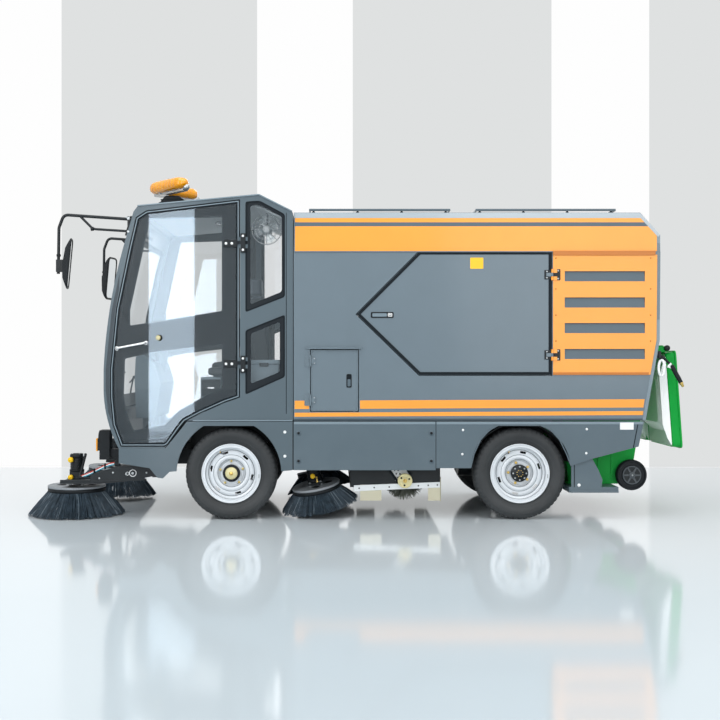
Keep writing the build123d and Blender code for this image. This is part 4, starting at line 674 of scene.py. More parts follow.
def wheel_trim(piece, x, front):
    """Nuts, hub cap, valve and the rolled edge of a rim, seen from outside."""
    y = -HALF_TRACK
    centre = (x, y, AXLE_Z)
    out = (0, -1, 0)
    # rolled outer edge and the drop centre's inner bead
    piece.lathe([(186, 71), (190, 72), (193.5, 76.5), (193.5, 79), (189, 80), (184, 76), (180, 71)],
                centre, out, STEEL_RIM, 64)
    piece.lathe([(168.2, 46), (160, 44.5), (152, 41), (150, 37), (158, 33), (168.2, 32)], centre, out, STEEL_RIM, 64)
    piece.lathe([(118, 43.5), (112, 48), (104, 49.5), (96, 47.5), (92, 43.5)], centre, out, STEEL_RIM, 64)
    # dark rings: painted shade in the rim's grooves and inside its rolled edge
    for radius, depth in ((151, 41.4), (119, 43.6), (90, 43.8)):
        piece.lathe([(radius + 1.4, depth - 1), (radius + 1.4, depth + 0.8), (radius - 1.4, depth + 0.8),
                     (radius - 1.4, depth - 1)], centre, out, RIM_GROOVE_SHADE, 64)
    piece.lathe([(181, 70.5), (178, 69), (175, 62), (176, 60)], centre, out, RIM_GROOVE_SHADE, 64)
    for i in range(5):
        angle = math.radians(72 * i + (20 if front else 34))
        reach = 78 if front else 69
        nut = round_axle((x, y - 28, AXLE_Z), reach, angle)
        piece.lathe([(12, 0), (12, 3), (0, 3)], nut, out, STEEL_RIM, 20)
        piece.bolt(nut, out, 8.5, CREAM if front else BRASS, washer=False)
        if front:
            piece.lathe([(6, 5), (5, 13), (0, 14)], nut, out, BRASS, 12)
    hub = (x, y - HUB_OUT, AXLE_Z)
    if front:
        piece.lathe([(57, -10), (57, -2), (52, 4), (44, 6), (40, 4)], hub, out, PLASTIC, 40)
        piece.lathe([(40, 3), (36, 6), (34, 12), (22, 14), (20, 17), (0, 18)], hub, out, CREAM, 36)
        piece.lathe([(13, 17.5), (12, 22), (0, 23)], hub, out, BRASS, 24)
    else:
        piece.lathe([(57, -14), (57, 0), (52, 5), (30, 6), (28, 14), (0, 15)], hub, out, BLACK, 40)
        for i in range(8):
            angle = 2 * math.pi * i / 8
            piece.bolt(round_axle((x, hub[1] - 5, AXLE_Z), 43, angle), out, 5.2, ZINC, False)
        for i in range(8):
            angle = 2 * math.pi * (i + .5) / 8
            piece.dome(round_axle((x, hub[1] - 14, AXLE_Z), 20, angle), out, 3.2, BRASS)
    # valve stem, clipped balance weight
    angle = math.radians(118)
    foot = Vector(round_axle((x, y - 40, AXLE_Z), 146, angle))
    tip = foot + Vector((9 * math.cos(angle), -30, 9 * math.sin(angle)))
    piece.rod(foot, tip, 4.5, SEAL, 12, 1.0)
    piece.rod(tip, tip + Vector((2, -9, 4)), 4.0, BRASS, 12, 1.0)
    piece.box((x + 178, x + 184), (y - 79, y - 70), (AXLE_Z - 30, AXLE_Z - 4), ZINC, 2)


for end, wheel_x in (("front", 0.0), ("rear", WHEELBASE)):
    both(f"tyre_tread_{end}", lambda p, x=wheel_x: tyre(p, x), f"wheel_{end}_{{}}",
         replaced=(f"tyre_{end}_{{}}",))
    both(f"wheel_trim_{end}", lambda p, x=wheel_x, e=end: wheel_trim(p, x, e == "front"), f"wheel_{end}_{{}}")


# ---------------------------------------------------------------- brushes
# along a bristle: share of its length, of its way out, and of its way down
BRISTLE_CURVE = ((0.0, 0.0, 0.0), (0.4, 0.41, 0.39), (0.75, 0.77, 0.735), (1.0, 1.0, 1.0))


def bristles(piece, rings, material, light, seed, move):
    """Tufts of flexed bristles: each ring is (count, root radius, root z, tip radius, tip z, hairs per tuft);
    move takes a point drawn round the upright axis to its place."""
    draw = random.Random(seed)
    points, faces, shades = [], [], []
    for count, root_r, root_z, tip_r, tip_z, hairs in rings:
        for i in range(count):
            angle = 2 * math.pi * (i + 0.5 * draw.random()) / count
            reach = draw.uniform(-14, 4)
            for _ in range(hairs):
                a = angle + draw.gauss(0, 0.012)
                spread = draw.gauss(0, 0.03)
                r0 = root_r + draw.uniform(-4, 4)
                r1 = tip_r + reach + draw.uniform(-8, 6)
                bow = draw.uniform(-3, 7)
                width = draw.uniform(1.5, 2.3)
                base = len(points)
                for k, (t, out, down) in enumerate(BRISTLE_CURVE):
                    r = r0 + (r1 - r0) * out + bow * math.sin(math.pi * t)
                    z = root_z + (tip_z - root_z) * down + (draw.uniform(0, 5) + max(0, -reach) * 0.5) * (t == 1.0)
                    theta = a + spread * t
                    half = width * (1 - 0.35 * t)
                    for c in range(3):
                        q = 2 * math.pi * c / 3
                        out_r, aside = r + half * math.cos(q), half * math.sin(q)
                        points.append((out_r * math.cos(theta) - aside * math.sin(theta),
                                       out_r * math.sin(theta) + aside * math.cos(theta), z))
                for k in range(3):
                    for c in range(3):
                        d = (c + 1) % 3
                        faces.append((base + 3 * k + c, base + 3 * k + d, base + 3 * k + 3 + d, base + 3 * k + 3 + c))
                faces.append((base + 9, base + 10, base + 11))
                faces.append((base + 2, base + 1, base))
                shades += [draw.random() < 0.05] * 11
    index, pale = piece.slot_of(material), piece.slot_of(light)
    verts = [piece.mesh.verts.new(move(Vector(p))) for p in points]
    for corners, shade in zip(faces, shades):
        face = piece.mesh.faces.new([verts[i] for i in corners])
        face.material_index = pale if shade else index


def disc_brush(piece, disc_radius, low, high, radius, move, seed, tip_z):
    """A rotating brush: steel disc with oval holes, its hub and nut, a plastic core and rings of bristles."""
    plate = bmesh.new()
    sides = 72
    thick = 14.0
    for top in (True, False):
        z = high - (0 if top else thick)
        rim = [plate.verts.new((disc_radius * math.cos(2 * math.pi * i / sides),
                                disc_radius * math.sin(2 * math.pi * i / sides), z)) for i in range(sides)]
        hub = [plate.verts.new((0.24 * disc_radius * math.cos(2 * math.pi * i / sides),
                                0.24 * disc_radius * math.sin(2 * math.pi * i / sides), z)) for i in range(sides)]
        # four oval openings between the hub and the rim
        inner, outer = [], []
        for i in range(sides):
            a = 2 * math.pi * i / sides
            wave = max(0.0, math.cos(4 * a))
            near = (0.50 - 0.16 * wave) * disc_radius
            far = (0.50 + 0.20 * wave) * disc_radius + 0.5
            inner.append(plate.verts.new((near * math.cos(a), near * math.sin(a), z)))
            outer.append(plate.verts.new((far * math.cos(a), far * math.sin(a), z)))
        for i in range(sides):
            j = (i + 1) % sides
            plate.faces.new((hub[i], hub[j], inner[j], inner[i]))
            plate.faces.new((outer[i], outer[j], rim[j], rim[i]))
    for v in plate.verts:
        v.co = move(Vector(v.co))
    bmesh.ops.recalc_face_normals(plate, faces=plate.faces)
    piece.take(plate, DISC)
    o = move(Vector((0, 0, 0)))
    up = (move(Vector((0, 0, 1))) - o)
    piece.lathe([(disc_radius, high - thick), (disc_radius + 2, high - thick + 3), (disc_radius + 2, high - 3),
                 (disc_radius - 2, high + 1)], o, up, DISC, 72)
    piece.lathe([(0.12 * disc_radius, high), (34, high + 1), (34, high + 7), (22, high + 8), (20, high + 14),
                 (0, high + 14)], o, up, ZINC, 32)
    piece.lathe([(0, low + 2), (disc_radius - 8, low + 2), (disc_radius + 1, low + 10), (disc_radius + 1, high - thick),
                 (0, high - thick)], o, up, PLASTIC, 72)
    for i in range(4):
        a = math.pi / 4 + math.pi / 2 * i
        piece.bolt(move(Vector((0.34 * disc_radius * math.cos(a), 0.34 * disc_radius * math.sin(a), high))), up, 7)
    rings = []
    for k, (count, hairs) in enumerate(((96, 15), (84, 11), (64, 8), (48, 6))):
        root = disc_radius - 2 - 26 * k
        rings.append((count, root, low + 6 + 2 * k, radius - 8 - 30 * k, tip_z + 3 * k, hairs))
    bristles(piece, rings, BRISTLE, BRISTLE_LIGHT, seed, move)


def turner(centre, tilt, pivot_x=0.0, pivot_z=0.0):
    """Moves points drawn round the upright axis to a brush's centre, then tips them about a cross axis."""
    turn = Matrix.Rotation(math.radians(tilt), 3, "Y")
    pivot = Vector((pivot_x, centre[1], pivot_z))

    def move(p):
        """The point at the brush, tipped."""
        q = Vector((p[0] + centre[0], p[1] + centre[1], p[2]))
        return turn @ (q - pivot) + pivot
    return move


def leaning(centre, radius, tilt, heading):
    """Moves points drawn round the upright axis to a brush's centre, then tips it over its front outer edge."""
    ahead, outward = math.cos(math.radians(heading)), math.sin(math.radians(heading))
    turn = Matrix.Rotation(math.radians(tilt), 3, Vector((outward, -ahead, 0)))
    contact = Vector((centre[0] - radius * ahead, centre[1] - radius * outward, 0))

    def move(p):
        """The point at the brush, leaning."""
        return turn @ (Vector((p[0] + centre[0], p[1] + centre[1], p[2])) - contact) + contact
    return move


ARM_PIVOT = (-484.0, 307.0)
SIDE_CENTRE = (-1069.0, -420.0)
MID_CENTRE = (582.0, -450.0)
MID_RADIUS = 265.0
MID_TILT, MID_HEADING = 13.0, 32.0
ARM_STATES = ((LEFT, 0.0, 0.0), (RIGHT, 4.5, 92.0))    # side, degrees lifted as parked, and how much shorter the arm is
for side, tilt, back in ARM_STATES:
    brush = Piece()
    centre = (SIDE_CENTRE[0] + back, SIDE_CENTRE[1])
    disc_brush(brush, 190, 150, 195, 325, turner(centre, tilt, *ARM_PIVOT), 11, 4)
    made = brush.make(f"side_bristles_{side}", f"side_brush_{side}", mirror=side == RIGHT)
    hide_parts(f"side_brush_{side}")
    brush = Piece()
    disc_brush(brush, 160, 105, 150, MID_RADIUS, leaning(MID_CENTRE, MID_RADIUS, MID_TILT, MID_HEADING), 12, 3)
    made = brush.make(f"mid_bristles_{side}", f"mid_brush_{side}", mirror=side == RIGHT)
    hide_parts(f"mid_brush_{side}")


ROLLER_AXLE = (1136.0, 245.0)


def roller(piece):
    """Cross roller: core, rows of bristles that wind round it, shaft ends and the drive pulley."""
    x, z = ROLLER_AXLE
    core, reach, half = 62.0, 137.0, 570.0
    piece.rod((x, -half, z), (x, half, z), core, PLASTIC, 28)
    piece.rod((x, -611, z), (x, 612, z), 16, STEEL, 20, 1.5)
    draw = random.Random(5)
    points, faces = [], []
    rows, tufts = 12, 50
    for row in range(rows):
        for i in range(tufts):
            y = -half + 8 + (2 * half - 16) * i / (tufts - 1)
            for _ in range(7):
                angle = 2 * math.pi * (row / rows) + y / 330 + draw.gauss(0, 0.11)
                yy = y + draw.uniform(-9, 9)
                tip = reach + draw.uniform(-7, 0)
                swing = draw.gauss(0, 0.05)
                base = len(points)
                for t, width in ((core - 2, 2.2), (tip, 1.2)):
                    a = angle + swing * (t > core)
                    for c in range(3):
                        q = 2 * math.pi * c / 3
                        points.append((x + t * math.cos(a) - width * math.cos(q) * math.sin(a),
                                       yy + width * math.sin(q),
                                       z + t * math.sin(a) + width * math.cos(q) * math.cos(a)))
                for c in range(3):
                    d = (c + 1) % 3
                    faces.append((base + c, base + d, base + 3 + d, base + 3 + c))
                faces.append((base + 3, base + 4, base + 5))
    index = piece.slot_of(ROLLER_BRISTLE)
    verts = [piece.mesh.verts.new(p) for p in points]
    for corners in faces:
        piece.mesh.faces.new([verts[i] for i in corners]).material_index = index
    pulley = (x, -612, z)
    out = (0, -1, 0)
    piece.lathe([(16, 0), (47, 0), (48, 3), (43, 9), (43, 15), (48, 21), (47, 24), (40, 24), (38, 19), (22, 19),
                 (20, 24), (0, 24)], pulley, out, CREAM, 48)
    piece.bolt((x, -635, z), out, 9, BRASS)
    for i in range(3):
        a = 2 * math.pi * i / 3 + .4
        piece.lathe([(6.5, 19.2), (6.5, 19.8), (0, 19.8)],
                    round_axle(pulley, 30, a), out, SEAL, 16)


cross = Piece()
roller(cross)
made = cross.make("roller_bristles", "roller_brush")
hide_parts("roller_brush")


# ---------------------------------------------------------------- hopper body, drawn on the left side
SKIN = -BODY_HALF
SHOULDER_Z, ROOF_Z = 1742.0, 1998.0
BODY_FRONT, ROOF_REAR = 408.0, 2660.0
REAR_TOP, REAR_MID, REAR_LOW, TOE = (2788.0, 1852.0), (2782.0, 1170.0), (2690.0, 646.0), (2639.0, 403.0)
PAINT = 0.8                # how far painted bands stand off the skin
DOOR = [(2080.0, 1742.0), (1222.0, 1742.0), (816.0, 1336.0), (1222.0, 942.0), (2080.0, 942.0)]
SIDE_HINGES_Z, HATCH_HINGES_Z = (1072, 1592), (779, 1033)
HATCH = [(520.0, 1104.0), (826.0, 1104.0), (826.0, 708.0), (520.0, 708.0)]


def lean(z):
    """How far in the wall above the shoulder stands."""
    return 5.0 + 15.0 * (z - SHOULDER_Z) / (ROOF_Z + 1 - SHOULDER_Z)


def band(piece, outline, thick, material):
    """A thin sheet on the leaning wall above the shoulder."""
    piece.prism(outline, 0, -thick, material,
                map_point=lambda x, y, z: (x, SKIN + lean(z) + y - 0.2, z))


def rear_x(z):
    """Where the body's rear edge is at a height."""
    points = [(ROOF_REAR, ROOF_Z), REAR_TOP, REAR_MID, REAR_LOW, TOE]
    for (x0, z0), (x1, z1) in zip(points, points[1:]):
        if z1 <= z <= z0:
            return x0 + (x1 - x0) * (z0 - z) / (z0 - z1)
    return TOE[0]


def body_trim(piece):
    """Painted bands, edge mouldings, seams and labels on one side of the body."""
    front = BODY_FRONT + 8
    for z0, z1, material in ((1934, 1962, ORANGE), (1908, 1934, SLATE), (1746, 1908, ORANGE)):
        knee = [(REAR_TOP[0] - 22, REAR_TOP[1] - 6)] if z0 < REAR_TOP[1] else []
        band(piece, [(front, z0), (rear_x(z0) - 22, z0), *knee, (rear_x(z1) - 28, z1), (front, z1)], PAINT, material)
    # orange that carries the louvre panel on to the rear edge
    strip = [(rear_x(z) - 60, z) for z in (944, 1170, 1722)] + [(rear_x(z) - 22, z) for z in (1722, 1170, 944)]
    piece.prism(strip, SKIN - 4.3, SKIN, ORANGE)
    # pale band along the roof edge: a painted reflection
    band(piece, [(BODY_FRONT + 2, 1962), (rear_x(1962) - 4, 1962), (ROOF_REAR - 2, 1996), (BODY_FRONT + 2, 1996)], 1.6,
         ROOF_EDGE_SHEEN)
    # lower lip of the shoulder
    piece.prism([(BODY_FRONT + 4, SHOULDER_Z - 4), (2752, SHOULDER_Z - 4), (2752, SHOULDER_Z + 3),
                 (BODY_FRONT + 4, SHOULDER_Z + 3)], SKIN - 5, SKIN + 6, GREY, bevel=1.5)
    # folded rear edge, painted lighter than the body as a highlight, its top part paler still as a painted reflection
    edge = [(ROOF_REAR, ROOF_Z - 4), REAR_TOP, REAR_MID, REAR_LOW]
    for (x0, z0), (x1, z1) in zip(edge, edge[1:]):
        along = Vector((x1 - x0, z1 - z0)).normalized()
        side = Vector((along.y, -along.x)) * 20
        if side.x > 0:
            side = -side
        strip = [(x0, z0), (x1, z1), (x1 + side.x, z1 + side.y), (x0 + side.x, z0 + side.y)]
        piece.prism(strip, 0, -2.2, ROOF_EDGE_SHEEN if z0 > REAR_TOP[1] else EDGE_HIGHLIGHT,
                    map_point=lambda x, y, z: (x, SKIN + (lean(z) if z > SHOULDER_Z + 5 else 0) + y, z))
    # lower stripes, the upper one broken by the hatch
    for x0, x1 in ((414, 508), (838, 2676)):
        rise = 10.0 / 2264
        z0, z1 = 721 + rise * (x0 - 414), 721 + rise * (x1 - 414)
        piece.prism([(x0, z0), (x1, z1), (x1 + (8 if x1 > 2000 else 0), z1 + 54), (x0, z0 + 54)], SKIN - PAINT, SKIN,
                    ORANGE)
    piece.prism([(414, 671), (2672, 682), (2676, 708), (414, 697)], SKIN - PAINT, SKIN, ORANGE)
    # dark strip along the foot of the body: painted shade of the ledge above the skirts
    piece.prism([(BODY_FRONT + 2, 647), (2688, 647), (2690, 659), (BODY_FRONT + 2, 659)], SKIN - 2, SKIN, FOOT_SHADE, 1.0)
    # louvre panel's folded top and foot in darker orange as painted shade, and screws round it in the same orange
    piece.prism([(2088, 1717), (2752, 1717), (2754, 1747), (2088, 1747)], SKIN - 10, SKIN - 1, ORANGE_SHADE, 2)
    piece.prism([(2091, 943), (2708, 943), (2710, 959), (2091, 959)], SKIN - 9, SKIN - 4, ORANGE_SHADE, 1.5)
    for x in (2108, 2722):
        for z in (1700, 1500, 1330, 1162):
            piece.dome((x, SKIN - 4, z), (0, -1, 0), 5, ORANGE_SHADE)
    # blank label
    piece.prism(round_corners([(1553, 1631), (1638, 1631), (1638, 1703), (1553, 1703)], 5), SKIN - 0.6, SKIN,
                LABEL_YELLOW)
    # drip lip over the hatch
    piece.prism([(486, 1118), (850, 1118), (850, 1124), (486, 1124)], SKIN - 16, SKIN, GREY, 2)
    piece.prism([(486, 1110), (850, 1110), (850, 1118), (486, 1118)], SKIN - 16, SKIN - 12, GREY, 1.5)


def service_door_trim(piece):
    """Seal round the service door, its recessed latch and the leaves' screws."""
    outer = grown(DOOR, -1.0)
    inner = grown(DOOR, -19.0)
    piece.ring(outer, inner, SKIN - 2.6, SKIN, SEAL, bevel=1.0)
    latch = round_corners([(908, 1312), (1056, 1312), (1056, 1350), (908, 1350)], 8)
    piece.ring(latch, grown(latch, -5), SKIN - 3.5, SKIN, PLASTIC, 0.8)
    piece.prism(grown(latch, -5), SKIN - 1.2, SKIN, SEAL)
    piece.prism(round_corners([(918, 1320), (1012, 1320), (1012, 1342), (918, 1342)], 5), SKIN - 4.5, SKIN - 1, DASH,
                1.5)
    piece.prism(round_corners([(1018, 1319), (1048, 1319), (1048, 1343), (1018, 1343)], 6), SKIN - 5, SKIN - 1,
                STEEL, 1.5)
    piece.lathe([(7, 0), (6, 1.6), (0, 1.8)], (1033, SKIN - 5, 1331), (0, -1, 0), ZINC, 20)
    for z in SIDE_HINGES_Z:
        piece.box((2034, 2077), (SKIN - 4, SKIN), (z - 30, z + 30), BLACK, 1.5)
        for dz in (-20, 20):
            piece.dome((2050, SKIN - 4, z + dz), (0, -1, 0), 6, ZINC)


def hinge_plates(piece):
    """Screwed fixed plates of the side hinges."""
    for z in SIDE_HINGES_Z:
        piece.box((2092, 2136), (SKIN - 8, SKIN - 4), (z - 36, z + 36), BLACK, 1.5)
        for dz in (-26, 26):
            piece.dome((2122, SKIN - 8, z + dz), (0, -1, 0), 6, ZINC)
    for z in HATCH_HINGES_Z:
        piece.box((478, 509), (SKIN - 4, SKIN), (z - 36, z + 36), GREY, 1.2)
        for dz in (-26, 26):
            piece.dome((488, SKIN - 4, z + dz), (0, -1, 0), 4.5, ZINC)


def hatch_trim(piece):
    """Raised inner panel line, finger recess and hinge screws of the hatch."""
    piece.ring(grown(HATCH, -1.5), grown(HATCH, -8.0), SKIN - 2.2, SKIN, GREY, 0.8)
    slot = round_corners([(750, 860), (784, 860), (784, 948), (750, 948)], 9)
    piece.ring(slot, grown(slot, -4), SKIN - 3, SKIN, PLASTIC, 0.8)
    piece.prism(grown(slot, -4), SKIN - 0.9, SKIN, SEAL)
    piece.prism(round_corners([(757, 868), (777, 868), (777, 914), (757, 914)], 5), SKIN - 3.5, SKIN - 0.8, SLATE, 1.2)
    for z in HATCH_HINGES_Z:
        piece.box((523, 552), (SKIN - 4, SKIN), (z - 22, z + 22), GREY, 1.2)
        piece.dome((542, SKIN - 4, z + 14), (0, -1, 0), 4.5, ZINC)
        piece.dome((542, SKIN - 4, z - 14), (0, -1, 0), 4.5, ZINC)


def skirt_trim(piece):
    """Flange, screws, blank label and arch lips of the skirts."""
    face = -SKIRT_HALF
    out = (0, -1, 0)
    # the top flange is painted lighter as a highlight
    for x0, x1 in ((410, 1326), (1334, 2676)):
        piece.prism([(x0, 622), (x1 - (4 if x1 > 2000 else 0), 622), (x1, 639), (x0, 639)], face - 2, face, EDGE_HIGHLIGHT, 1)
    for x in (440, 1300):
        for z in (565, 385):
            piece.lathe([(17, 0), (17, 1.5), (13, 3.5), (0, 3.5)], (x, face, z), out, SLATE, 24)
            piece.dome((x, face - 3, z), out, 9, PLASTIC)
    for x, z in ((1505, 585), (1501, 429), (2307, 591), (2304, 435)):
        piece.dome((x, face, z), out, 8, WHITE)
    piece.prism([(2522, 588), (2610, 588), (2610, 634), (2522, 634)], face - 2.8, face - 0.2, WHITE)
    # rolled lip round the rear arch
    arch = [(1558, 338), (1580, 430), (1622, 520), (1680, 585), (1735, 612), (2005, 612), (2070, 585), (2128, 520),
            (2172, 430), (2202, 351)]
    for (x0, z0), (x1, z1) in zip(arch, arch[1:]):
        n = Vector((z1 - z0, x0 - x1)).normalized() * 7
        from_hub = Vector(((x0 + x1) / 2, (z0 + z1) / 2)) - Vector((WHEELBASE, AXLE_Z))
        if (from_hub + n).length < from_hub.length:
            n = -n
        piece.prism([(x0, z0), (x1, z1), (x1 + n.x, z1 + n.y), (x0 + n.x, z0 + n.y)], face - 3, face, GREY_SHADED, 0.8)
    # seam of the rear corner
    piece.prism([(2636, 628), (2642, 628), (2612, 470), (2606, 470)], face - 0.8, face, SEAL)


both("body_trim", body_trim, "chassis")
both("service_door_trim", service_door_trim, "service_door_{}")
both("hinge_plates", hinge_plates, "chassis")
both("hatch_trim", hatch_trim, "hatch_{}")
both("skirt_trim", skirt_trim, "chassis")


def arch_liner(piece, x, reach, top):
    """Black wheel-arch liner between the skirt and the frame rail."""
    outer, inner = [], []
    for i in range(13):
        a = math.radians(12 + 156 * i / 12)
        outer.append((x - reach * math.cos(a), AXLE_Z + (top - AXLE_Z) * math.sin(a)))
        inner.append((x - (reach - 4) * math.cos(a), AXLE_Z + (top - AXLE_Z - 4) * math.sin(a)))
    piece.prism(outer + inner[::-1], -712, -372, PLASTIC)


both("rear_liner", lambda p: arch_liner(p, WHEELBASE, 338.0, 632.0), "chassis")


COVERS, RAILS = ((508, 1424), (1586, 2490)), ((503, 1445), (1612, 2548))    # their ends along the roof
RAIL_Y = 522


def roof_trim(piece):
    """Raised ribs, screws and the near side's moulding of the two roof covers."""
    for x0, x1 in COVERS:
        # the moulding is painted lighter as a highlight
        piece.ring([(x0, ROOF_Z), (x1, ROOF_Z), (x1, ROOF_Z + 24), (x0, ROOF_Z + 24)],
                   [(x0 + 3, ROOF_Z + 3), (x1 - 3, ROOF_Z + 3), (x1 - 3, ROOF_Z + 21), (x0 + 3, ROOF_Z + 21)], -526,
                   -521, EDGE_HIGHLIGHT, 0.8)
        for k in range(5):
            x = x0 + (x1 - x0) * (k + .5) / 5
            piece.box((x - 20, x + 20), (-430, 430), (ROOF_Z + 21, ROOF_Z + 27), GREY, 3)
            for y in (-495, 495):
                piece.dome((x, y, ROOF_Z + 22), (0, 0, 1), 7)


def roof_rails(piece):
    """A low rail on small feet round each roof cover."""
    for x0, x1 in RAILS:
        for y in (-RAIL_Y, RAIL_Y):
            piece.box((x0, x1), (y - 6, y + 6), (ROOF_Z + 33, ROOF_Z + 49), GREY_SHADED, 3)
            for k in range(4):
                x = x0 + 30 + (x1 - x0 - 60) * k / 3
                piece.lathe([(11, 0), (11, 4), (7, 6), (7, 16)], (x, y * 0.985, ROOF_Z + 23), (0, 0, 1), PLASTIC, 18)
        for x in (x0 + 6, x1 - 6):
            piece.box((x - 6, x + 6), (-RAIL_Y, RAIL_Y), (ROOF_Z + 33, ROOF_Z + 48), GREY_SHADED, 3)


top = Piece()
roof_trim(top)
roof_rails(top)
top.make("roof_trim", "chassis")


# ---------------------------------------------------------------- cab
DOOR_EDGE = [(-612.0, 1962.0), (-546.0, 2005.0), (55.0, 2076.0), (55.0, 799.0), (-39.0, 767.0), (-201.0, 695.0),
             (-299.0, 643.0), (-331.0, 604.0), (-409.0, 494.0), (-429.0, 481.0), (-711.0, 481.0), (-762.0, 620.0),
             (-779.0, 800.0), (-779.0, 980.0), (-740.0, 1370.0), (-660.0, 1755.0)]
WINDOW_HIGH = [(-533.0, 1960.0), (-52.0, 1975.0), (-52.0, 1352.0), (-663.0, 1254.0), (-663.0, 1365.0)]
WINDOW_LOW = [(-696.0, 1053.0), (-520.0, 1092.0), (-52.0, 1144.0), (-52.0, 858.0), (-201.0, 780.0), (-331.0, 708.0),
              (-429.0, 617.0), (-637.0, 572.0), (-682.0, 682.0), (-705.0, 800.0)]
QUARTER_HIGH = [(100.0, 2062.0), (186.0, 2068.0), (346.0, 1982.0), (346.0, 1452.0), (100.0, 1356.0)]
CLEAR_HIGH = [(127.0, 2041.0), (188.0, 2047.0), (331.0, 1969.0), (331.0, 1482.0), (127.0, 1400.0)]
QUARTER_LOW = [(100.0, 1228.0), (346.0, 1326.0), (346.0, 932.0), (100.0, 822.0)]
CLEAR_LOW = [(130.0, 1209.0), (318.0, 1287.0), (318.0, 962.0), (130.0, 885.0)]
NOSE = [(-808.0, 690.0), (-825.0, 845.0), (-825.0, 975.0), (-786.0, 1365.0), (-702.0, 1755.0), (-631.0, 2002.0)]
OUT = (0, -1, 0)
CAB_HINGES_Z = (1794, 1014)
PILLAR_PLATES = ((1735, 1859), (955, 1066))
LAMP_X, LAMP_Y, LAMP_Z = -876, 560.0, 527


def nose_x(z):
    """The cab's front edge at a height."""
    for (x0, z0), (x1, z1) in zip(NOSE, NOSE[1:]):
        if z <= z1:
            return x0 + (x1 - x0) * (z - z0) / (z1 - z0)
    return NOSE[-1][0]


def door_trim(piece):
    """Seals, lip, pull bar, lock knob and hinge screws of the glazed door."""
    y = -BODY_HALF
    piece.ring(grown(DOOR_EDGE, 3), grown(DOOR_EDGE, -4), y - 1.5, y + 12, SEAL)
    # the lip between the seals is painted lighter as a highlight
    piece.ring(grown(DOOR_EDGE, -4), grown(DOOR_EDGE, -10), y - 2.4, y + 2, EDGE_HIGHLIGHT, bevel=0.8)
    piece.ring(grown(DOOR_EDGE, -10), grown(DOOR_EDGE, -20), y - 1.0, y + 2, SEAL)
    for window in (WINDOW_HIGH, WINDOW_LOW):
        piece.ring(round_corners(window, 14, 3), round_corners(grown(window, -7), 12, 3), y + 7, y + 22, SEAL)
    # pull bar on two feet
    start, end = Vector((-738, y - 34, 1114)), Vector((-552, y - 34, 1149))
    piece.tube([start + Vector((0, 30, 0)), start, end, end + Vector((0, 30, 0))], 8.5, STEEL, 12, 12, 5)
    for foot in (start, end):
        piece.rod(foot + Vector((0, 34, 0)), foot + Vector((0, 26, 0)), 14, STEEL, 20, 2)
    # lock knob
    piece.lathe([(20, 0), (20, 10), (17, 14), (0, 14)], (-464, y, 1183), OUT, PLASTIC, 28)
    piece.lathe([(15, 12), (15, 22), (12, 26), (0, 27)], (-468, y, 1183), OUT, CREAM, 28)
    piece.lathe([(4, 26.5), (4, 28), (0, 28)], (-468, y, 1183), OUT, ZINC, 14)
    # hinge leaves' screws and the plates under them
    for z in CAB_HINGES_Z:
        piece.box((-45, 40), (y - 12, y - 5), (z - 25, z + 25), BLACK, 3)
        for x in (-30, 8):
            piece.dome((x, y - 12, z), OUT, 9, WHITE)
    # inner pull and latch case, seen through the glass
    piece.box((-480, -400), (y + 36, y + 62), (1140, 1220), PLASTIC, 6)
    piece.tube([(-440, y + 40, 1240), (-440, y + 80, 1250), (-440, y + 80, 1330), (-440, y + 40, 1340)], 9, PLASTIC)


def cab_trim(piece):
    """Quarter windows' printed borders and seals, hinge plates on the pillar, and the roof's drip edge."""
    y = -BODY_HALF
    for edge, clear in ((QUARTER_HIGH, CLEAR_HIGH), (QUARTER_LOW, CLEAR_LOW)):
        piece.ring(round_corners(edge, 14, 4), round_corners(clear, 18, 4), y + 2.4, y + 4, FRIT)
        piece.ring(round_corners(grown(edge, 5), 16, 4), round_corners(grown(edge, -5), 12, 4), y - 2.2, y + 4,
                   SEAL, 1)
    for low, high in PILLAR_PLATES:
        piece.box((64, 96), (y - 17, y), (low, high), BLACK, 3)
        for z in (low + 17, high - 17):
            piece.dome((80, y - 17, z), OUT, 8, WHITE)
    # painted shade: a darker strip on the front pillar's fold, between its outer face and the door
    fold = [(nose_x(z) + 14, z) for z in (700, 845, 975, 1365, 1600)] + [(-724, 1500), (-748, 1370), (-787, 980),
                                                                       (-787, 800), (-772, 640)]
    piece.prism(fold, y - 0.6, y + 1, PILLAR_PAINTED_SHADE)
    # seam of the rear pillar, and the drip edge along the roof, painted lighter as a highlight
    piece.prism([(358, 690), (362, 690), (362, 1995), (358, 1995)], y - 0.8, y, SEAL)
    piece.prism([(-604, 2036), (182, 2108), (180, 2116), (-606, 2044)], y - 7, y + 3, EDGE_HIGHLIGHT, 1.5)
    piece.prism([(182, 2108), (396, 2001), (399, 2008), (184, 2116)], y - 7, y + 3, EDGE_HIGHLIGHT, 1.5)
    # folded lower edge, painted in a lighter grey as a highlight
    piece.prism([(-246, 643), (400, 643), (400, 650), (-246, 650)], y - 8.6, y + 2, EDGE_HIGHLIGHT, 1.2)
    piece.bolt((351, -SKIRT_HALF, 572), OUT, 6.5, WHITE)
    piece.bolt((351, -SKIRT_HALF, 416), OUT, 6.5, WHITE)


def strip_on_nose(piece, y0, y1, z0, z1, out, thick, material, steps=24):
    """A band that follows the windscreen's curve."""
    points, faces = [], []
    for i in range(steps + 1):
        z = z0 + (z1 - z0) * i / steps
        x = nose_x(z) - out
        points += [(x, y0, z), (x, y1, z), (x + thick, y1, z), (x + thick, y0, z)]
    for i in range(steps):
        a = 4 * i
        for k in range(4):
            m = (k + 1) % 4
            faces.append((a + k, a + m, a + 4 + m, a + 4 + k))
    faces += [(0, 1, 2, 3), (4 * steps + 3, 4 * steps + 2, 4 * steps + 1, 4 * steps)]
    piece.add(points, faces, material)


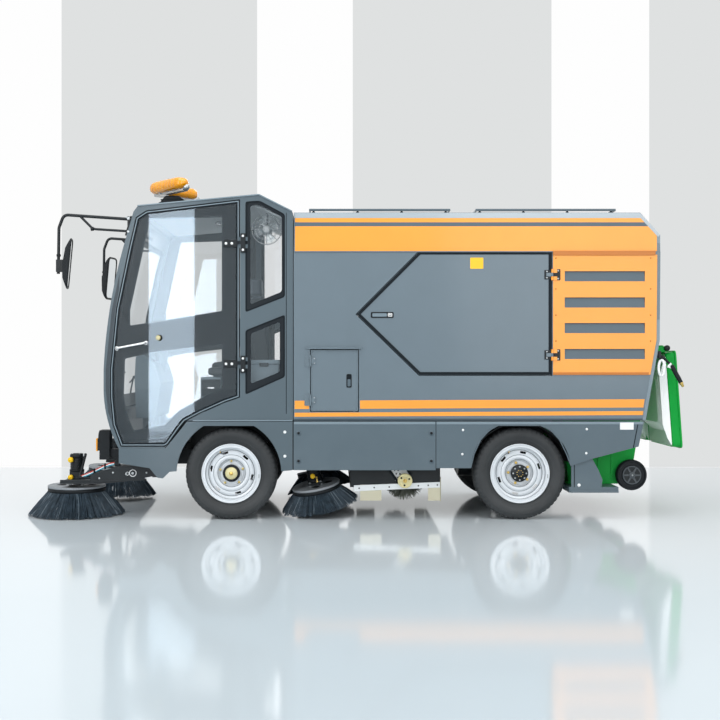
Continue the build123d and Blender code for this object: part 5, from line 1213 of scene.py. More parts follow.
def front_trim():
    """Windscreen border and seal, wipers, headlamp faces, and the nose panel's vents."""
    piece = Piece()
    half, low, high = 663.0, 706.0, 1896.0
    for side in (-1, 1):
        strip_on_nose(piece, side * (half - 48), side * half, low, high, -3.2, 1.2, FRIT)
        strip_on_nose(piece, side * (half - 4), side * (half + 7), low - 8, high + 8, 2.0, 8, SEAL)
    strip_on_nose(piece, -half + 48, half - 48, low, low + 90, -3.2, 1.2, FRIT, 6)
    strip_on_nose(piece, -half + 48, half - 48, high - 60, high, -3.2, 1.2, FRIT, 4)
    strip_on_nose(piece, -half - 7, half + 7, low - 10, low + 3, 2.0, 8, SEAL, 2)
    strip_on_nose(piece, -half - 7, half + 7, high - 3, high + 10, 2.0, 8, SEAL, 2)
    # two wipers parked along the foot of the screen
    for y, reach in ((-330, 420), (250, 420)):
        pivot = (nose_x(716) - 4, y, 716)
        piece.lathe([(24, 0), (22, 16), (14, 24), (0, 26)], (pivot[0] + 4, y, 716), (-1, 0, 0), PLASTIC, 24)
        joint = Vector((nose_x(905) - 26, y + 210, 905))
        piece.tube([Vector(pivot) + Vector((-18, 0, 0)), (nose_x(790) - 34, y + 90, 790), joint], 6, PLASTIC, 10, 60)
        ends = [Vector((nose_x(z) - 16, yy, z)) for yy, z in ((y + 10, 870), (y + reach, 950))]
        piece.tube([ends[0], Vector((nose_x(910) - 19, (ends[0].y + ends[1].y) / 2, 910)), ends[1]], 5, SEAL, 8, 200)
        piece.box((joint.x - 4, joint.x + 12), (joint.y - 18, joint.y + 18), (895, 917), PLASTIC, 4)
    # headlamps: bowl, bezel, clear lens and amber marker face
    for side in (-1, 1):
        y = side * LAMP_Y
        face, ahead = (LAMP_X, y, LAMP_Z), (-1, 0, 0)
        piece.lathe([(46, 0), (46, 8), (41, 10), (40, 4)], face, ahead, PLASTIC, 36)
        piece.lathe([(40, -1), (40, 4), (34, 8), (18, 11), (0, 12)], face, ahead, CLEAR_LENS, 36)
        piece.lathe([(36, 1), (22, -2), (0, -3)], (LAMP_X - 3, y, LAMP_Z), ahead, STEEL, 36)
        piece.box((-904, -892), (y - 30, y + 30), (436, 522), AMBER, 4)
        piece.box((-877.5, -876), (y - 44, y + 44), (390, 434), CLEAR_LENS, 1)
        for z in (397, 412, 427):
            piece.box((-879, -877), (y - 42, y + 42), (z - 1.5, z + 1.5), PLASTIC)
    # vents low on the nose
    for i in range(5):
        z = 560 + 22 * i
        x = -728 - 80 * (z - 466) / 224    # along the nose's lower slope
        piece.box((x - 5, x + 5), (-250, 250), (z - 4, z + 4), PLASTIC, 2, ((x, 0, z), "Y", 20))
    piece.make("front_trim", "chassis")


both("door_trim", door_trim, "cab_door_{}")
both("cab_trim", cab_trim, "chassis")
front_trim()


# mirrors and beacon
MIRROR_MIDDLE = -1102.0
MIRROR_WIDTH = 665.0


def on_mirror(x, y, z):
    """A point of the left mirror head before it turns towards the driver, moved to its place."""
    turn = math.radians(10)
    dx = x - MIRROR_MIDDLE
    return Vector((MIRROR_MIDDLE + dx * math.cos(turn) - y * math.sin(turn),
                   dx * math.sin(turn) + y * math.cos(turn) - MIRROR_WIDTH, z))


def mirror_trim(piece):
    """Mirror glass in its rim, the head's joint, and the arm's clamps."""
    corners = round_corners([(-76, -150), (76, -150), (76, 150), (-76, 150)], 34, 6)
    rim = round_corners([(-85, -160), (85, -160), (85, 160), (-85, 160)], 40, 6)
    slope = (1046.0 - 1076.0) / 336.0

    def at(y, h, out):
        """A point on the glass's slope, so far out from it."""
        return on_mirror(-1061.0 - slope * h + out, y, 1668.0 + h)
    n = len(corners)
    piece.add([at(y, h, 2.5) for y, h in corners] + [at(y, h, 0.2) for y, h in corners],
              closed_faces(n), MIRROR)
    loops = [[at(y, h, 0) for y, h in rim], [at(y, h, 6) for y, h in rim], [at(y, h, 6) for y, h in corners],
             [at(y, h, 0) for y, h in corners]]
    points = [p for loop in loops for p in loop]
    faces = [(k * n + i, k * n + (i + 1) % n, ((k + 1) % 4) * n + (i + 1) % n, ((k + 1) % 4) * n + i)
             for k in range(4) for i in range(n)]
    piece.add(points, faces, PLASTIC)
    # bracket plate on the pillar with its screws
    piece.box((-672, -656), (-716, -664), (1860, 1972), BLACK, 3)
    for z in (1872, 1958):
        piece.bolt((-664, -716, z), OUT, 6.5, ZINC)
    piece.rod((-690, -690, 1966), (-640, -690, 1974), 7, ZINC, 14, 1.5)
    piece.lathe([(14, -7), (14, 7)], (-1124, -690, 1720), (0, 0, 1), PLASTIC, 20)
    piece.lathe([(13, -9), (13, 9)], (-905, -690, 1893), (1, 0, 0.1), PLASTIC, 20)


both("mirror_trim", mirror_trim, "chassis")


BEACON_ROOT, BEACON_TIP, BEACON_Z = (-608, 4), (-372, 270), 2262


def beacon_line(side):
    """The two ends of one arm's middle line."""
    return [Vector((x, side * y, BEACON_Z)) for x, y in (BEACON_ROOT, BEACON_TIP)]


def beacon_arm(piece, side):
    """One swept-back arm of the amber bar: a ribbed lens with round shoulders."""
    start, end = beacon_line(side)
    rings, steps, sides = [], 44, 24
    along = (end - start).normalized()
    across = Vector((-along.y, along.x, 0))
    for i in range(steps + 1):
        t = i / steps
        close = (1 - abs(2 * t - 1) ** 9) ** 0.5 if 0 < i < steps else 0.12
        rib = 1 - 0.07 * (i % 4 == 0)
        ring = []
        for k in range(sides):
            a = 2 * math.pi * k / sides
            c, s = math.cos(a), math.sin(a)
            size = (abs(c) ** 3.2 + abs(s) ** 3.2) ** (-1 / 3.2)
            wide, high = 57 * size * c * close * rib, 42 * size * s * close * rib
            wide *= 1 - 0.16 * (s > 0) * s
            ring.append(start + (end - start) * (t * 1.12 - 0.06) + across * wide + Vector((0, 0, high)))
        rings.append(ring)
    points = [p for ring in rings for p in ring]
    faces = [(sides * i + k, sides * i + (k + 1) % sides, sides * (i + 1) + (k + 1) % sides, sides * (i + 1) + k)
             for i in range(steps) for k in range(sides)]
    faces += [tuple(range(sides)), tuple(range(sides * (steps + 1) - 1, sides * steps - 1, -1))]
    piece.add(points, faces, AMBER, smooth=True)


beacon = Piece()
for side in (-1, 1):
    beacon_arm(beacon, side)
    # clear bands, a white reflector drawn bright to stand in for the lens's highlight, pale under-tray, grey end cap
    # and foot bolts
    for t in (0.24, 0.5, 0.76):
        start, end = beacon_line(side)
        centre = start.lerp(end, t)
        beacon.lathe([(40, -5), (49, -4), (49, 4), (40, 5)], centre, (0.66, side * 0.75, 0), CLEAR_LENS, 40)
    beacon.lathe([(24, 0), (24, 4), (16, 7), (0, 8)], (-509, side * 152, 2266), (-0.76, side * 0.65, 0.0), WHITE, 24)
    beacon.prism([(-618, side * 2), (-372, side * 292), (-338, side * 262), (-560, side * 2)], 2205, 2222,
                 CLEAR_LENS, 3, map_point=lambda x, y, z: (x, z, y))
    beacon.lathe([(24, 0), (24, 14), (17, 24), (0, 26)], (-352, side * 286, 2232), (0.65, side * 0.2, -0.72), ZINC, 24)
    beacon.bolt((-470, side * 128, 2130), (0, side, 0), 7)
beacon.prism([(-604, 2074), (-566, 2140), (-520, 2196), (-420, 2196), (-372, 2140), (-335, 2102)], -118, 118,
             PLASTIC, 8)
for k in range(4):
    beacon.prism([(-588 + 12 * k, 2100 + 22 * k), (-352 - 14 * k, 2116 + 18 * k), (-352 - 14 * k, 2121 + 18 * k),
                  (-588 + 12 * k, 2105 + 22 * k)], -122, 122, SEAL)
made = beacon.make("beacon_trim", "chassis")
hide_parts("beacon_lens", "beacon_mount")


# ---------------------------------------------------------------- inside the cab
def pad(piece, centre, half, material, crown=14.0, lean=0.0, seams=(), cuts=20, power=7.0):
    """A crowned cushion with rounded, pulled-in sides; it lies flat, then leans back; seams are sewn channels."""
    part = bmesh.new()
    bmesh.ops.create_cube(part, size=2.0)
    bmesh.ops.subdivide_edges(part, edges=part.edges, cuts=cuts, use_grid_fill=True)
    turn = Matrix.Rotation(math.radians(lean), 3, "Y")
    for v in part.verts:
        a, b, c = v.co
        size = (abs(a) ** power + abs(b) ** power + abs(c) ** power) ** (1 / power)
        a, b, c = a / size, b / size, c / size
        swell = (1 - a * a) * (1 - b * b)
        sink = sum(math.exp(-(((b if along == "b" else a) - at) / 0.045) ** 2) for along, at in seams)
        x = half[0] * a * (1 - 0.03 * (1 - abs(b)) * abs(a))
        y = half[1] * b * (1 - 0.03 * (1 - abs(a)) * abs(b))
        z = half[2] * c + crown * swell * (1 if c > 0 else 0.3) * max(0.0, c) - 9.0 * sink * max(0.0, c)
        v.co = turn @ Vector((x, y, z)) + Vector(centre)
    piece.take(part, material, True)


def soft(name, fill, *pads):
    """One stuffed part of the seat, made from its pads."""
    piece = Piece()
    for entry in pads:
        pad(piece, *entry)
    made = piece.make(name, "chassis")


BACK_LEAN, HEADREST_LEAN = 84 + 180, 88 + 180    # degrees from flat, turned over so that the crown faces forward


def seat():
    """The driver's seat: sprung base and shells, with a cushion, winged back and headrest."""
    piece = Piece()
    piece.box((-215, 180), (-190, 190), (681, 712), PLASTIC, 6)
    for k in range(5):
        z = 722 + 26 * k
        grow = 6 if k % 2 else 0
        piece.box((-190 - grow, 150 + grow), (-165 - grow, 165 + grow), (z, z + 22), PLASTIC, 8)
    piece.box((-222, 186), (-205, 205), (856, 900), PLASTIC, 8)
    piece.box((218, 236), (-170, 170), (1010, 1440), PLASTIC, 6)
    for y in (-60, 60):
        piece.rod((150, y, 1455), (122, y, 1560), 7, STEEL, 14, 1)
    # armrest brackets, slide rail handle and the belt's buckle
    for y in (-226, 226):
        piece.box((96, 128), (y - 8, y + 8), (1130, 1172), PLASTIC, 4)
    piece.tube([(-150, -200, 890), (-215, -200, 884), (-226, -150, 884)], 7, PLASTIC)
    piece.box((30, 60), (-228, -206), (1000, 1070), PLASTIC, 4, ((45, -217, 1000), "Y", 12))
    made = piece.make("driver_seat_frame", "chassis")
    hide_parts("driver_seat")
    soft("seat_cushion", 0.7, ((20, 0, 965), (205, 236, 58), VINYL, 12, 0, (("b", -0.62), ("b", 0.62), ("a", 0.0))),
         *(((10, y, 985), (190, 34, 44), VINYL_DARK, 6, -2) for y in (-205, 205)))
    soft("seat_back", 0.7, ((158, 0, 1230), (262, 236, 50), VINYL, 12, BACK_LEAN,
                             (("b", -0.6), ("b", 0.6), ("a", 0.35))),
         *(((150, y, 1220), (250, 30, 50), VINYL_DARK, 6, BACK_LEAN) for y in (-208, 208)))
    soft("seat_headrest", 0.8, ((118, 0, 1553), (60, 122, 40), VINYL, 8, HEADREST_LEAN))
    soft("seat_armrest", 0.8, ((-10, -228, 1170), (130, 13, 22), VINYL_DARK, 4))
    soft("drawer_pad", 0.8, ((-104, -535, 962), (60, 62, 24), VINYL_DARK, 6))


def fittings():
    """Fan in its cage, console boxes, pedals, instruments and the column's stalks."""
    piece = Piece()
    hub = Vector((222, -560, 1905))
    for radius, back in ((98, 0), (74, 12), (48, 18), (98, -38), (60, -50)):
        ring = [hub + Vector((radius * math.cos(t), -back, radius * math.sin(t)))
                for t in (2 * math.pi * k / 24 for k in range(24))]
        piece.tube(ring, 1.6, STEEL, 6, 4, 1, closed=True)
    for k in range(16):
        t = 2 * math.pi * k / 16
        out = Vector((math.cos(t), 0, math.sin(t)))
        piece.tube([hub + out * 26 + Vector((0, -22, 0)), hub + out * 74 + Vector((0, -12, 0)), hub + out * 98,
                    hub + out * 98 + Vector((0, 38, 0)), hub + out * 40 + Vector((0, 54, 0))], 1.2, STEEL, 6, 10, 3)
    for k in range(4):
        t = math.pi / 2 * k + 0.3
        blade = [hub + Vector((r * math.cos(t + s), 10 + 18 * s, r * math.sin(t + s)))
                 for r, s in ((18, -.2), (84, -.35), (90, 0.0), (82, .45), (18, .35))]
        piece.add(blade + [p + Vector((0, 2, 0)) for p in blade],
                  closed_faces(5), CLEAR_LENS)
    piece.lathe([(0, -26), (22, -24), (24, -16), (24, 40), (34, 44), (34, 84), (26, 92), (0, 93)], hub, (0, 1, 0),
                WHITE, 28)
    piece.tube([hub + Vector((0, 60, 20)), hub + Vector((0, 60, 110)), hub + Vector((0, 90, 160))], 8, PLASTIC)
    # box behind the seat with its lid, and the drawer box beside the seat
    piece.box((114, 308), (-640, -400), (682, 1010), DASH, 6)
    piece.box((108, 314), (-646, -394), (1010, 1040), DASH, 8)
    piece.box((180, 240), (-652, -644), (996, 1020), PLASTIC, 3)
    piece.box((-206, -70), (-640, -430), (682, 926), DASH, 6)
    piece.box((-200, -76), (-643.5, -638), (700, 790), PLASTIC, 2)
    piece.box((-200, -76), (-643.5, -638), (800, 912), PLASTIC, 2)
    piece.box((-160, -116), (-650, -643), (850, 862), STEEL, 2)
    # instruments, screen, vents and rocker switches on the dash
    piece.prism([(-664, 1074), (-640, 1128), (-596, 1116), (-566, 1020)], -150, 150, PLASTIC, 6)
    piece.prism([(-634, 1122), (-602, 1112), (-576, 1034), (-584, 1030)], -128, 128, SEAL, 1)
    for y in (-70, 70):
        piece.lathe([(44, 0), (44, 5), (38, 7), (38, 3), (0, 3)], (-600, y, 1068), (1, 0, 0.45), STEEL, 36)
        piece.box((-594, -590), (y - 1.5, y + 1.5), (1058, 1096), RED, 0, ((-592, y, 1072), "Y", -20))
    for y in (-250, -215, 200, 235, 270):
        piece.box((-600, -574), (y - 12, y + 12), (1000, 1030), PLASTIC, 3, ((-588, y, 1015), "Y", -35))
    for y in (-265, 225):
        for k in range(4):
            piece.box((-618 + 5 * k, -606 + 5 * k), (y - 35, y + 35), (1046 - 7 * k, 1049 - 7 * k), SEAL, 0.5)
    piece.box((-556, -540), (150, 290), (1060, 1180), PLASTIC, 5, ((-548, 220, 1120), "Y", -14))
    piece.box((-542, -538), (158, 282), (1070, 1170), GLASS_DARK, 1, ((-548, 220, 1120), "Y", -14))
    piece.rod((-575, 220, 1010), (-552, 220, 1080), 8, PLASTIC, 14, 1)
    for side in (-1, 1):
        piece.tube([(-548, side * 20, 1160), (-548, side * 120, 1180), (-546, side * 168, 1182)], 5, PLASTIC)
        piece.rod((-546, side * 150, 1181), (-545, side * 178, 1182), 9, PLASTIC, 14, 3)
    for y, z in ((-90, 560), (30, 560), (120, 545)):
        piece.box((-660, -640), (y - 32, y + 32), (z - 45, z + 45), PLASTIC, 6, ((-650, y, z), "Y", 35))
        for k in range(4):
            piece.box((-648, -644), (y - 30, y + 30), (z - 32 + 20 * k, z - 24 + 20 * k), SEAL, 1,
                      ((-650, y, z), "Y", 35))
    # floor mat with ribs, sun blind, headlining
    piece.box((-640, -430), (-430, 430), (468.5, 474), SEAL, 2)
    for k in range(9):
        piece.box((-636, -434), (-400 + 100 * k - 6, -400 + 100 * k + 6), (474, 477), SEAL, 1)
    piece.prism([(-560, 2000), (150, 2064), (340, 1972), (340, 1964), (150, 2054), (-560, 1990)], -640, 640,
                HEADLINING, 2)
    piece.rod((-628, -520, 1895), (-628, -40, 1895), 12, PLASTIC, 16, 2)
    piece.lathe([(0, 0), (60, 0), (60, 10), (52, 18), (0, 20)], (-120, 0, 2024), (0, 0, -1), CLEAR_LENS, 32)
    piece.make("cab_fittings", "chassis")


seat()
fittings()


# ---------------------------------------------------------------- side arms, middle brushes and the sweep housing
def arm_gear(piece, back):
    """Motor, its ports and hose, leads clipped along the arm, and the bearing covers on its side plate."""
    x, y = SIDE_CENTRE[0] + back, SIDE_CENTRE[1]
    outer = -(BODY_HALF - 80)
    up = (0, 0, 1)
    # motor: foot flange, ribbed barrel, and end cap with its tie bolts
    piece.lathe([(42, 0), (49, 1), (49, 11), (44, 14), (42, 14)], (x, y, 287), up, PLASTIC, 40)
    for k in range(6):
        z = 306 + 11 * k
        piece.lathe([(42, 0), (45, 1), (45, 5), (42, 6)], (x, y, z), up, BLACK, 40)
    piece.lathe([(42, 0), (46, 2), (46, 22), (40, 29), (30, 31), (0, 31)], (x, y, 376), up, PLASTIC, 40)
    for k in range(4):
        a = math.pi / 2 * k + math.pi / 4
        piece.bolt((x + 33 * math.cos(a), y + 33 * math.sin(a), 403), up, 4.5, ZINC, False)
    # ports with their yellow caps
    for z in (368, 250):
        port = (x - 24, y - 36, z)
        away = (-0.25, -0.97, 0)
        piece.lathe([(15, 0), (15, 16), (13, 18)], port, away, PLASTIC, 20)
        piece.lathe([(17, 14), (18, 16), (18, 27), (15, 30), (0, 31)], port, away, YELLOW, 24)
        piece.lathe([(6, 30), (5, 34), (0, 34)], port, away, YELLOW, 14)
    piece.box((x - 52, x + 60), (y - 46, y + 46), (238, 247), BLACK, 2)
    for a in (-40, 44):
        for b in (-36, 36):
            piece.bolt((x + a, y + b, 247), up, 6)
    # shaft coupling between the deck and the disc
    piece.lathe([(16, -31), (16, -20), (22, -18), (22, -8), (16, -6), (16, 0)], (x, y, 228), up, BRASS, 24)
    # deck's stiffening lips
    end = x + 169
    piece.box((x - 60, end), (outer + 2, outer + 8), (238, 252), BLACK, 2)
    piece.box((x - 60, end), (y + 42, y + 49), (238, 252), BLACK, 2)
    # hose out of the motor, over to the arm
    piece.tube([(x + 40, y, 386), (x + 62, y - 6, 404), (x + 66, y - 60, 380), (x + 62, y - 150, 290),
                (x + 66, y - 207, 264), (end + 6, y - 207, 262)], 8.5, PLASTIC, 10, 45)
    piece.lathe([(12, -4), (12, 18), (9, 20)], (x + 40, y, 386), (0.8, -0.1, 0.55), ZINC, 18)
    # leads along the plate's top edge to a plug on the arm
    for k, material in enumerate((TEAL, WHITE, RED)):
        lift = 7 * k
        piece.tube([(x + 60, -560 - 6 * k, 256 + lift), (x + 72, -618, 262 + lift), (-920, -622, 292 + lift),
                    (-862, -624, 322 + lift), (-800, -626, 348 + lift), (-762, -626, 352 + lift)], 3.8, material, 8, 30)
    piece.box((-772, -735), (-638, -616), (344, 376), PLASTIC, 3)
    for cx, cz in ((-905, 300), (-835, 334)):
        piece.box((cx - 5, cx + 5), (-636, -616), (cz - 14, cz + 26), SEAL, 3)
    # bearing covers, grease point and pin end on the side plate
    piece.lathe([(24, 0), (24, 3), (20, 4), (19, 1), (19, 0)], (-650, outer, 297), OUT, WHITE, 40)
    piece.lathe([(19, 0), (18, 2), (12, 3), (11, 6), (0, 6)], (-650, outer, 297), OUT, BLACK, 32)
    piece.bolt((-650, outer - 6, 297), OUT, 6, ZINC)
    piece.lathe([(12, 0), (12, 3), (9.5, 4), (9, 1), (9, 0)], (-686, outer, 293), OUT, WHITE, 30)
    piece.dome((-693, outer - 2, 290), OUT, 8, ZINC)
    piece.bolt((ARM_PIVOT[0], outer - 7, ARM_PIVOT[1]), OUT, 12, ZINC)
    piece.prism([(-905, 236), (-560, 250), (-560, 262), (-905, 250)], outer - 4, outer, BLACK, 1.5)
    for px, pz in ((-870, 262), (-780, 300), (-560, 300)):
        piece.dome((px, outer, pz), OUT, 7, ZINC)


for side, tilt, back in ARM_STATES:
    gear = Piece()
    arm_gear(gear, back)
    swing = Matrix.Rotation(math.radians(tilt), 3, "Y")
    pivot = Vector((ARM_PIVOT[0], 0, ARM_PIVOT[1]))
    for v in gear.mesh.verts:
        v.co = swing @ (v.co - pivot) + pivot
    gear.make(f"arm_gear_{side}", f"side_arm_{side}", mirror=side == RIGHT)


def mid_gear(piece):
    """Middle brush motor: cap, port, tie bolts and its short hoses up to the frame."""
    move = leaning(MID_CENTRE, MID_RADIUS, MID_TILT, MID_HEADING)
    origin = move(Vector((0, 0, 0)))
    up = move(Vector((0, 0, 1))) - origin
    piece.lathe([(42, 172), (52, 173), (52, 184), (44, 188), (44, 262), (40, 284), (30, 289), (0, 289)], origin, up,
                PLASTIC, 36)
    for k in range(4):
        z = 198 + 14 * k
        piece.lathe([(44, z), (47, z + 1), (47, z + 5), (44, z + 6)], origin, up, BLACK, 36)
    port = move(Vector((-8, -38, 216)))
    piece.lathe([(13, -6), (13, 8), (12, 10)], port, OUT, PLASTIC, 18)
    piece.lathe([(15, 8), (16, 10), (16, 20), (13, 23), (0, 24)], port, OUT, YELLOW, 24)
    piece.lathe([(15, 150), (15, 158), (20, 160), (20, 168), (14, 172)], origin, up, BRASS, 24)
    fitting = move(Vector((16, -62, 176)))
    piece.lathe([(9, 0), (9, 8), (6, 10), (6, 26), (8, 28), (8, 38), (0, 40)], fitting, up, BRASS, 20)
    piece.tube([move(Vector((30, 20, 270))), move(Vector((70, 40, 310))), (660, -380, 380), (650, -360, 430)], 9,
               PLASTIC, 10, 40)
    piece.tube([move(Vector((10, 30, 275))), move(Vector((30, 60, 330))), (610, -370, 430)], 7, SEAL, 10, 40)
    for a, b in ((-36, -46), (36, -46), (36, 40)):
        piece.bolt(move(Vector((a, b, 172))), up, 6)


def housing_trim(piece):
    """Steel clamping strip over the side rubbers, belt guard, strut, folded edges and hose clamps."""
    y = -606.0
    strip = [(800, 174), (1368, 199), (1368, 235), (800, 213)]
    piece.prism(strip, y - 5, y, STRIP, 1)
    for sx in (835, 934, 1033, 1225, 1290, 1350):
        z = 193 + (sx - 800) * 24 / 568
        piece.bolt((sx, y - 5, z), OUT, 4.5, BLACK, False)
    # belt guard with its punched holes, and the dark belt edges
    guard = [(985, 398), (1092, 398), (1160, 290), (1112, 232), (1076, 240)]
    piece.prism(guard, -604, -601, WHITE, 0.8)
    for row in range(6):
        for column in range(3):
            gx, gz = 1012 + 24 * column + 11 * row, 384 - 24 * row
            piece.lathe([(5.5, 0), (5.5, 0.5), (0, 0.5)], (gx, -604, gz), OUT, SEAL, 12)
    for (x0, z0), (x1, z1) in (((972, 402), (1090, 236)), ((1100, 402), (1178, 282))):
        along = Vector((x1 - x0, z1 - z0)).normalized()
        across = Vector((-along.y, along.x)) * 8
        piece.prism([(x0 + across.x, z0 + across.y), (x1 + across.x, z1 + across.y), (x1 - across.x, z1 - across.y),
                     (x0 - across.x, z0 - across.y)], -611, -601, SEAL, 2)
    # strut and hose on the housing's side
    piece.tube([(900, -606, 402), (905, -612, 350), (950, -614, 322), (990, -612, 372), (992, -606, 402)], 9, PLASTIC,
               10, 40)
    piece.box((940, 960), (-622, -601), (314, 330), ZINC, 2)
    for sx in (800, 868, 1210, 1290, 1350):
        piece.bolt((sx, -600, 372), OUT, 5.5, ZINC)
    piece.box((778, 1368), (-604, -600), (384, 398), BLACK, 1.5)
    piece.box((778, 786), (-604, -600), (204, 384), BLACK, 1.5)
    piece.box((1360, 1368), (-604, -600), (236, 384), BLACK, 1.5)
    # black blinds behind the skirts' two seams: dark sheets that paint the shade in the gaps
    for sx in (405, 1332):
        piece.box((sx - 22, sx + 22), (-SKIRT_HALF + 8, -SKIRT_HALF + 11), (326, 640), BLACK, 1)


both("mid_gear", mid_gear, "chassis")
both("housing_trim", housing_trim, "chassis")


# ---------------------------------------------------------------- bins, washing lance and the rear
BIN_Y = -300.0
LID_PIN = (2880.0, 1118.0)
BIN_WHEEL_AXLE = (2638.0, 278.0)


def lid(piece):
    """A bin's lid as it hangs: rolled rim, dished panel with its raised middle, barrels and the grip."""
    x, z = LID_PIN
    lean = Matrix.Rotation(math.radians(-4.0), 3, "Y")
    pin = Vector((x, 0, z))

    def hung(out, y, h):
        """A point so far behind the pin, tipped with the lid."""
        return lean @ (Vector((x + out, y, h)) - pin) + pin

    def loop(out, half, low, high, radius):
        """A rounded rectangle across the lid."""
        corners = round_corners([(-half, low), (half, low), (half, high), (-half, high)], radius, 5)
        return [hung(out, y + BIN_Y, h) for y, h in corners]

    def skin(loops, materials, cap):
        """The surface through the loops, closed at the last one."""
        n = len(loops[0])
        for (a, b), material in zip(zip(loops, loops[1:]), materials):
            piece.add(a + b, side_faces(n), material, smooth=True)
        piece.add(loops[-1], [tuple(range(n))], cap)
    outer = [loop(55, 256, 459, 1086, 30), loop(55, 268, 447, 1098, 36), loop(44, 268, 447, 1098, 36),
             loop(42, 262, 453, 1092, 34), loop(-6, 256, 459, 1086, 34), loop(-13, 248, 467, 1078, 30),
             loop(-13, 226, 560, 1000, 46), loop(-20, 222, 566, 994, 44), loop(-62, 196, 612, 930, 40),
             loop(-71, 182, 626, 916, 36)]
    skin(outer, [GREEN] * 5 + [LID_PALE] * 4, LID_PALE)
    inner = [loop(55, 256, 459, 1086, 30), loop(-4, 246, 469, 1076, 28), loop(-7, 226, 562, 998, 42),
             loop(-54, 192, 616, 926, 36), loop(-64, 178, 630, 912, 32)]
    skin(inner, [GREEN] * 4, GREEN)
    # pale cheeks beside the raised middle
    for side in (-1, 1):
        y = BIN_Y + side * 263
        cheek = [(-16, 1060), (-14, 560), (-14, 470), (-40, 520), (-66, 615), (-66, 925), (-40, 1010)]
        points = [hung(a, y + off, h) for off in (0, -side * 5) for a, h in cheek]
        piece.add(points, closed_faces(len(cheek)), LID_PALE)
    # ribs inside the tray, grip at the free edge
    for y in (-120, 0, 120):
        rib = [hung(a, BIN_Y + y + b, h) for a in (-62, -50) for b in (-5, 5) for h in (650, 890)]
        piece.add(rib, BOX_FACES, GREEN, bevel=3)
    grip = [hung(a, BIN_Y + y, h)
            for a, y, h in ((52, -150, 470), (84, -140, 462), (84, 140, 462), (52, 150, 470))]
    piece.tube(grip, 9, GREEN, 12, 20)
    for y0, y1 in ((-140, -60), (60, 140)):
        piece.lathe([(12.5, 0), (20, 0), (20, y1 - y0), (12.5, y1 - y0)], (x, BIN_Y + y0, z), (0, 1, 0), GREEN, 28)
        strap = [hung(a, BIN_Y + y, h) for a in (-14, 20) for y in (y0, y1) for h in (1088, 1112)]
        piece.add(strap, BOX_FACES, GREEN, bevel=4)


def bin_trim(piece):
    """Bin's rim roll, foot, carrying bar, seam lines and the lid pin's black ends."""
    x, z = LID_PIN
    for y in (-556, -44):
        piece.lathe([(0, -3), (19, -3), (19, 7), (15, 10), (0, 10)], (x, y, z), (0, 1 if y > BIN_Y else -1, 0),
                    PLASTIC, 28)
    piece.box((2218, 2644), (-524, -76), (214, 228), GREEN, 5)
    piece.tube([(2770, -480, 1096), (2836, -480, 1112), (2836, -120, 1112), (2770, -120, 1096)], 13, GREEN, 14, 30)
    for k in range(4):
        y = BIN_Y + (k - 1.5) * 110
        piece.box((2236, 2246), (y - 8, y + 8), (240, 1040), GREEN, 3, ((2240, y, 640), "Y", -5.4))
    # ribs low on the bin's outer side
    for k, (rx, z1) in enumerate(((2330, 470), (2420, 500), (2510, 530))):
        piece.prism([(rx, 240), (rx + 14, 240), (rx + 16, z1), (rx + 4, z1)], 0, -4, GREEN, 1.2,
                    map_point=lambda a, b, c: (a, -525 - 59 * (c - 214) / 906 + b, c))


def bin_wheel_trim(piece):
    """Tyre grooves, spokes and caps of a bin's two wheels; the inner one's are shallow, as the bins stand close."""
    x, z = BIN_WHEEL_AXLE
    for y, side, deep in ((BIN_Y - 291, -1, 1.0), (BIN_Y + 291, 1, 0.45)):
        out = (0, side, 0)
        piece.lathe([(99, -40), (101.5, -37), (101.5, -31), (99, -29)], (x, y, z), out, PLASTIC, 48)
        piece.lathe([(99, -19), (101.5, -17), (101.5, -11), (99, -8)], (x, y, z), out, PLASTIC, 48)
        piece.lathe([(62, -8), (62, 1), (57, 3), (54, 1), (54, -2)], (x, y, z), out, HUB_GREY, 40)
        piece.lathe([(54, 0.3), (22, 0.5)], (x, y, z), out, BLACK, 40)
        for k in range(6):
            turn = Matrix.Rotation(2 * math.pi * k / 6, 3, "Y")
            ends = [turn @ Vector((a, 0, b)) + Vector((x, y, z)) for a, b in ((18, -6), (56, -4), (56, 4), (18, 6))]
            lift = Vector((0, side * 3.5, 0))
            piece.add(ends + [p + lift for p in ends], closed_faces(4), HUB_GREY)
        piece.lathe([(22, 0), (22, 5 * deep), (17, 9 * deep), (10, 10 * deep), (0, 10 * deep)], (x, y, z), out,
                    HUB_GREY, 28)
        piece.lathe([(6, 10 * deep), (5, 13 * deep), (0, 14 * deep)], (x, y, z), out, ZINC, 14)


both("lid_shell", lid, "bin_lid_{}", replaced=("bin_lid_{}",))
both("bin_trim", bin_trim, "chassis")
both("bin_wheel_trim", bin_wheel_trim, "bin_wheels_{}")


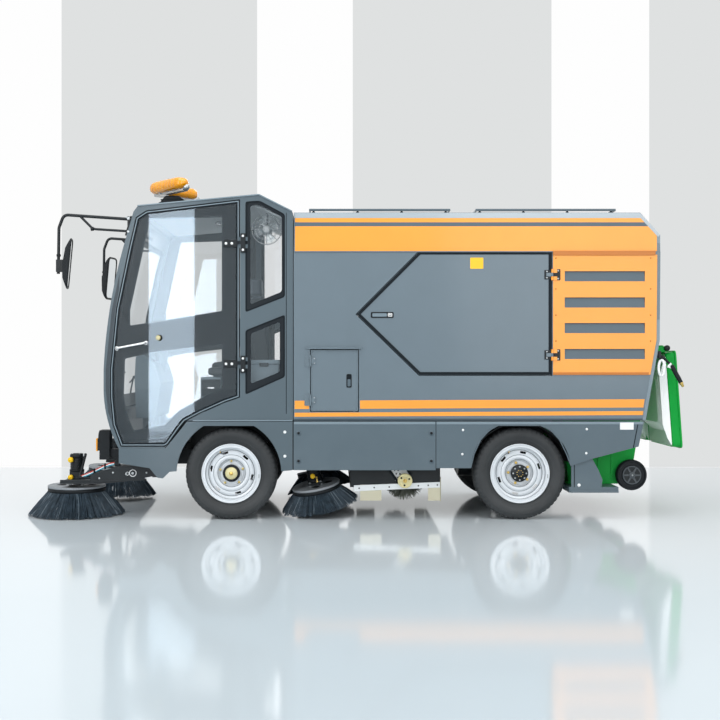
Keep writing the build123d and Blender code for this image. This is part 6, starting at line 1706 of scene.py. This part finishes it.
def lance_trim():
    """Washing lance: tie, hose loop, rubber grip rings and the brass nozzle; it hangs on the left side only."""
    piece = Piece()
    y = 15.0 - BODY_HALF
    piece.lathe([(9, -7), (12, -6), (12, 6), (9, 7)], (2853, y, 1010), (0.72, 0, -0.69), WHITE, 20)
    piece.box((2836, 2872), (y - 5, y + 5), (986, 1002), WHITE, 2, ((2854, y, 994), "Y", 18))
    axis = (Vector((2924, y, 893)) - Vector((2864, y, 1002))).normalized()
    for k in range(9):
        at = Vector((2864, y, 1002)) + axis * (16 + 10 * k)
        piece.lathe([(14, 0), (15.6, 2), (15.6, 5), (14, 7)], at, axis, PLASTIC, 20)
    tip = Vector((2924, y, 893)) - axis * 2
    piece.lathe([(0, -2), (12, -2), (13, 4), (13, 14), (9, 18), (9, 30), (6, 34), (0, 34)], tip, axis, BRASS, 24)
    loop = [Vector((2797 + 19 * math.cos(t), y - 6, 988 + 52 * math.sin(t)))
            for t in (2 * math.pi * k / 20 for k in range(20))]
    piece.tube(loop, 8.5, WHITE, 10, 12, 2, closed=True)
    piece.box((2786, 2804), (y - 12, y + 6), (1036, 1056), PLASTIC, 3)
    piece.box((2776, 2792), (y - 18, y + 18), (1050, 1098), BLACK, 3)
    piece.make("lance_trim", "chassis")


def rear_trim(piece):
    """Tail lamp lenses, reflector, and the platform's bolts and seam."""
    # the red lens carries a faint painted glow
    for z0, z1, material in ((842, 896, RED_LENS_GLOW), (784, 838, AMBER), (724, 780, CLEAR_LENS)):
        piece.box((2689, 2698), (-688, -642), (z0, z1), material, 3)
        for k in range(4):
            z = z0 + (z1 - z0) * (k + 1) / 5
            piece.box((2697, 2699), (-684, -646), (z - 1, z + 1), material)
    piece.box((2684, 2690), (-692, -638), (718, 902), PLASTIC, 3)
    piece.bolt((2259, -718, 227), OUT, 7, WHITE)
    piece.prism([(2227, 214), (2231, 214), (2231, 396), (2227, 396)], -719, -717.6, SEAL)
    piece.box((2204, 2516), (-722, -716), (178, 190), GREY_SHADED, 2)


def hatch_rear():
    """Rear hatch: pressed frame, grab bar, lock and a blank plate."""
    piece = Piece()
    x = 2777.0
    piece.box((x, x + 5), (-600, 600), (1230, 1236), GREY_SHADED, 2)
    piece.box((x, x + 5), (-600, 600), (1806, 1812), GREY_SHADED, 2)
    for y in (-603, 597):
        piece.box((x, x + 5), (y, y + 6), (1236, 1806), GREY_SHADED, 2)
    piece.box((x + 1, x + 6), (-230, 230), (1300, 1410), WHITE, 2)
    for y in (-200, 200):
        piece.dome((x + 6, y, 1355), (1, 0, 0), 6)
    piece.tube([(x, -170, 1262), (x + 44, -170, 1256), (x + 44, 170, 1256), (x, 170, 1262)], 10, PLASTIC, 12, 24)
    for y in (-170, 170):
        piece.lathe([(18, 0), (18, 5), (12, 8)], (x, y, 1262), (1, 0, 0), PLASTIC, 24)
    piece.lathe([(17, 0), (17, 8), (13, 11), (0, 11)], (x + 2, 0, 1216), (1, 0, 0), STEEL, 28)
    # red lenses with a faint painted glow
    for y in (-520, 520):
        piece.box((x + 1, x + 6), (y - 40, y + 40), (1200, 1222), RED_LENS_GLOW, 3)
    piece.make("hatch_rear_trim", "rear_hatch")


lance_trim()
both("rear_trim", rear_trim, "chassis")
hatch_rear()
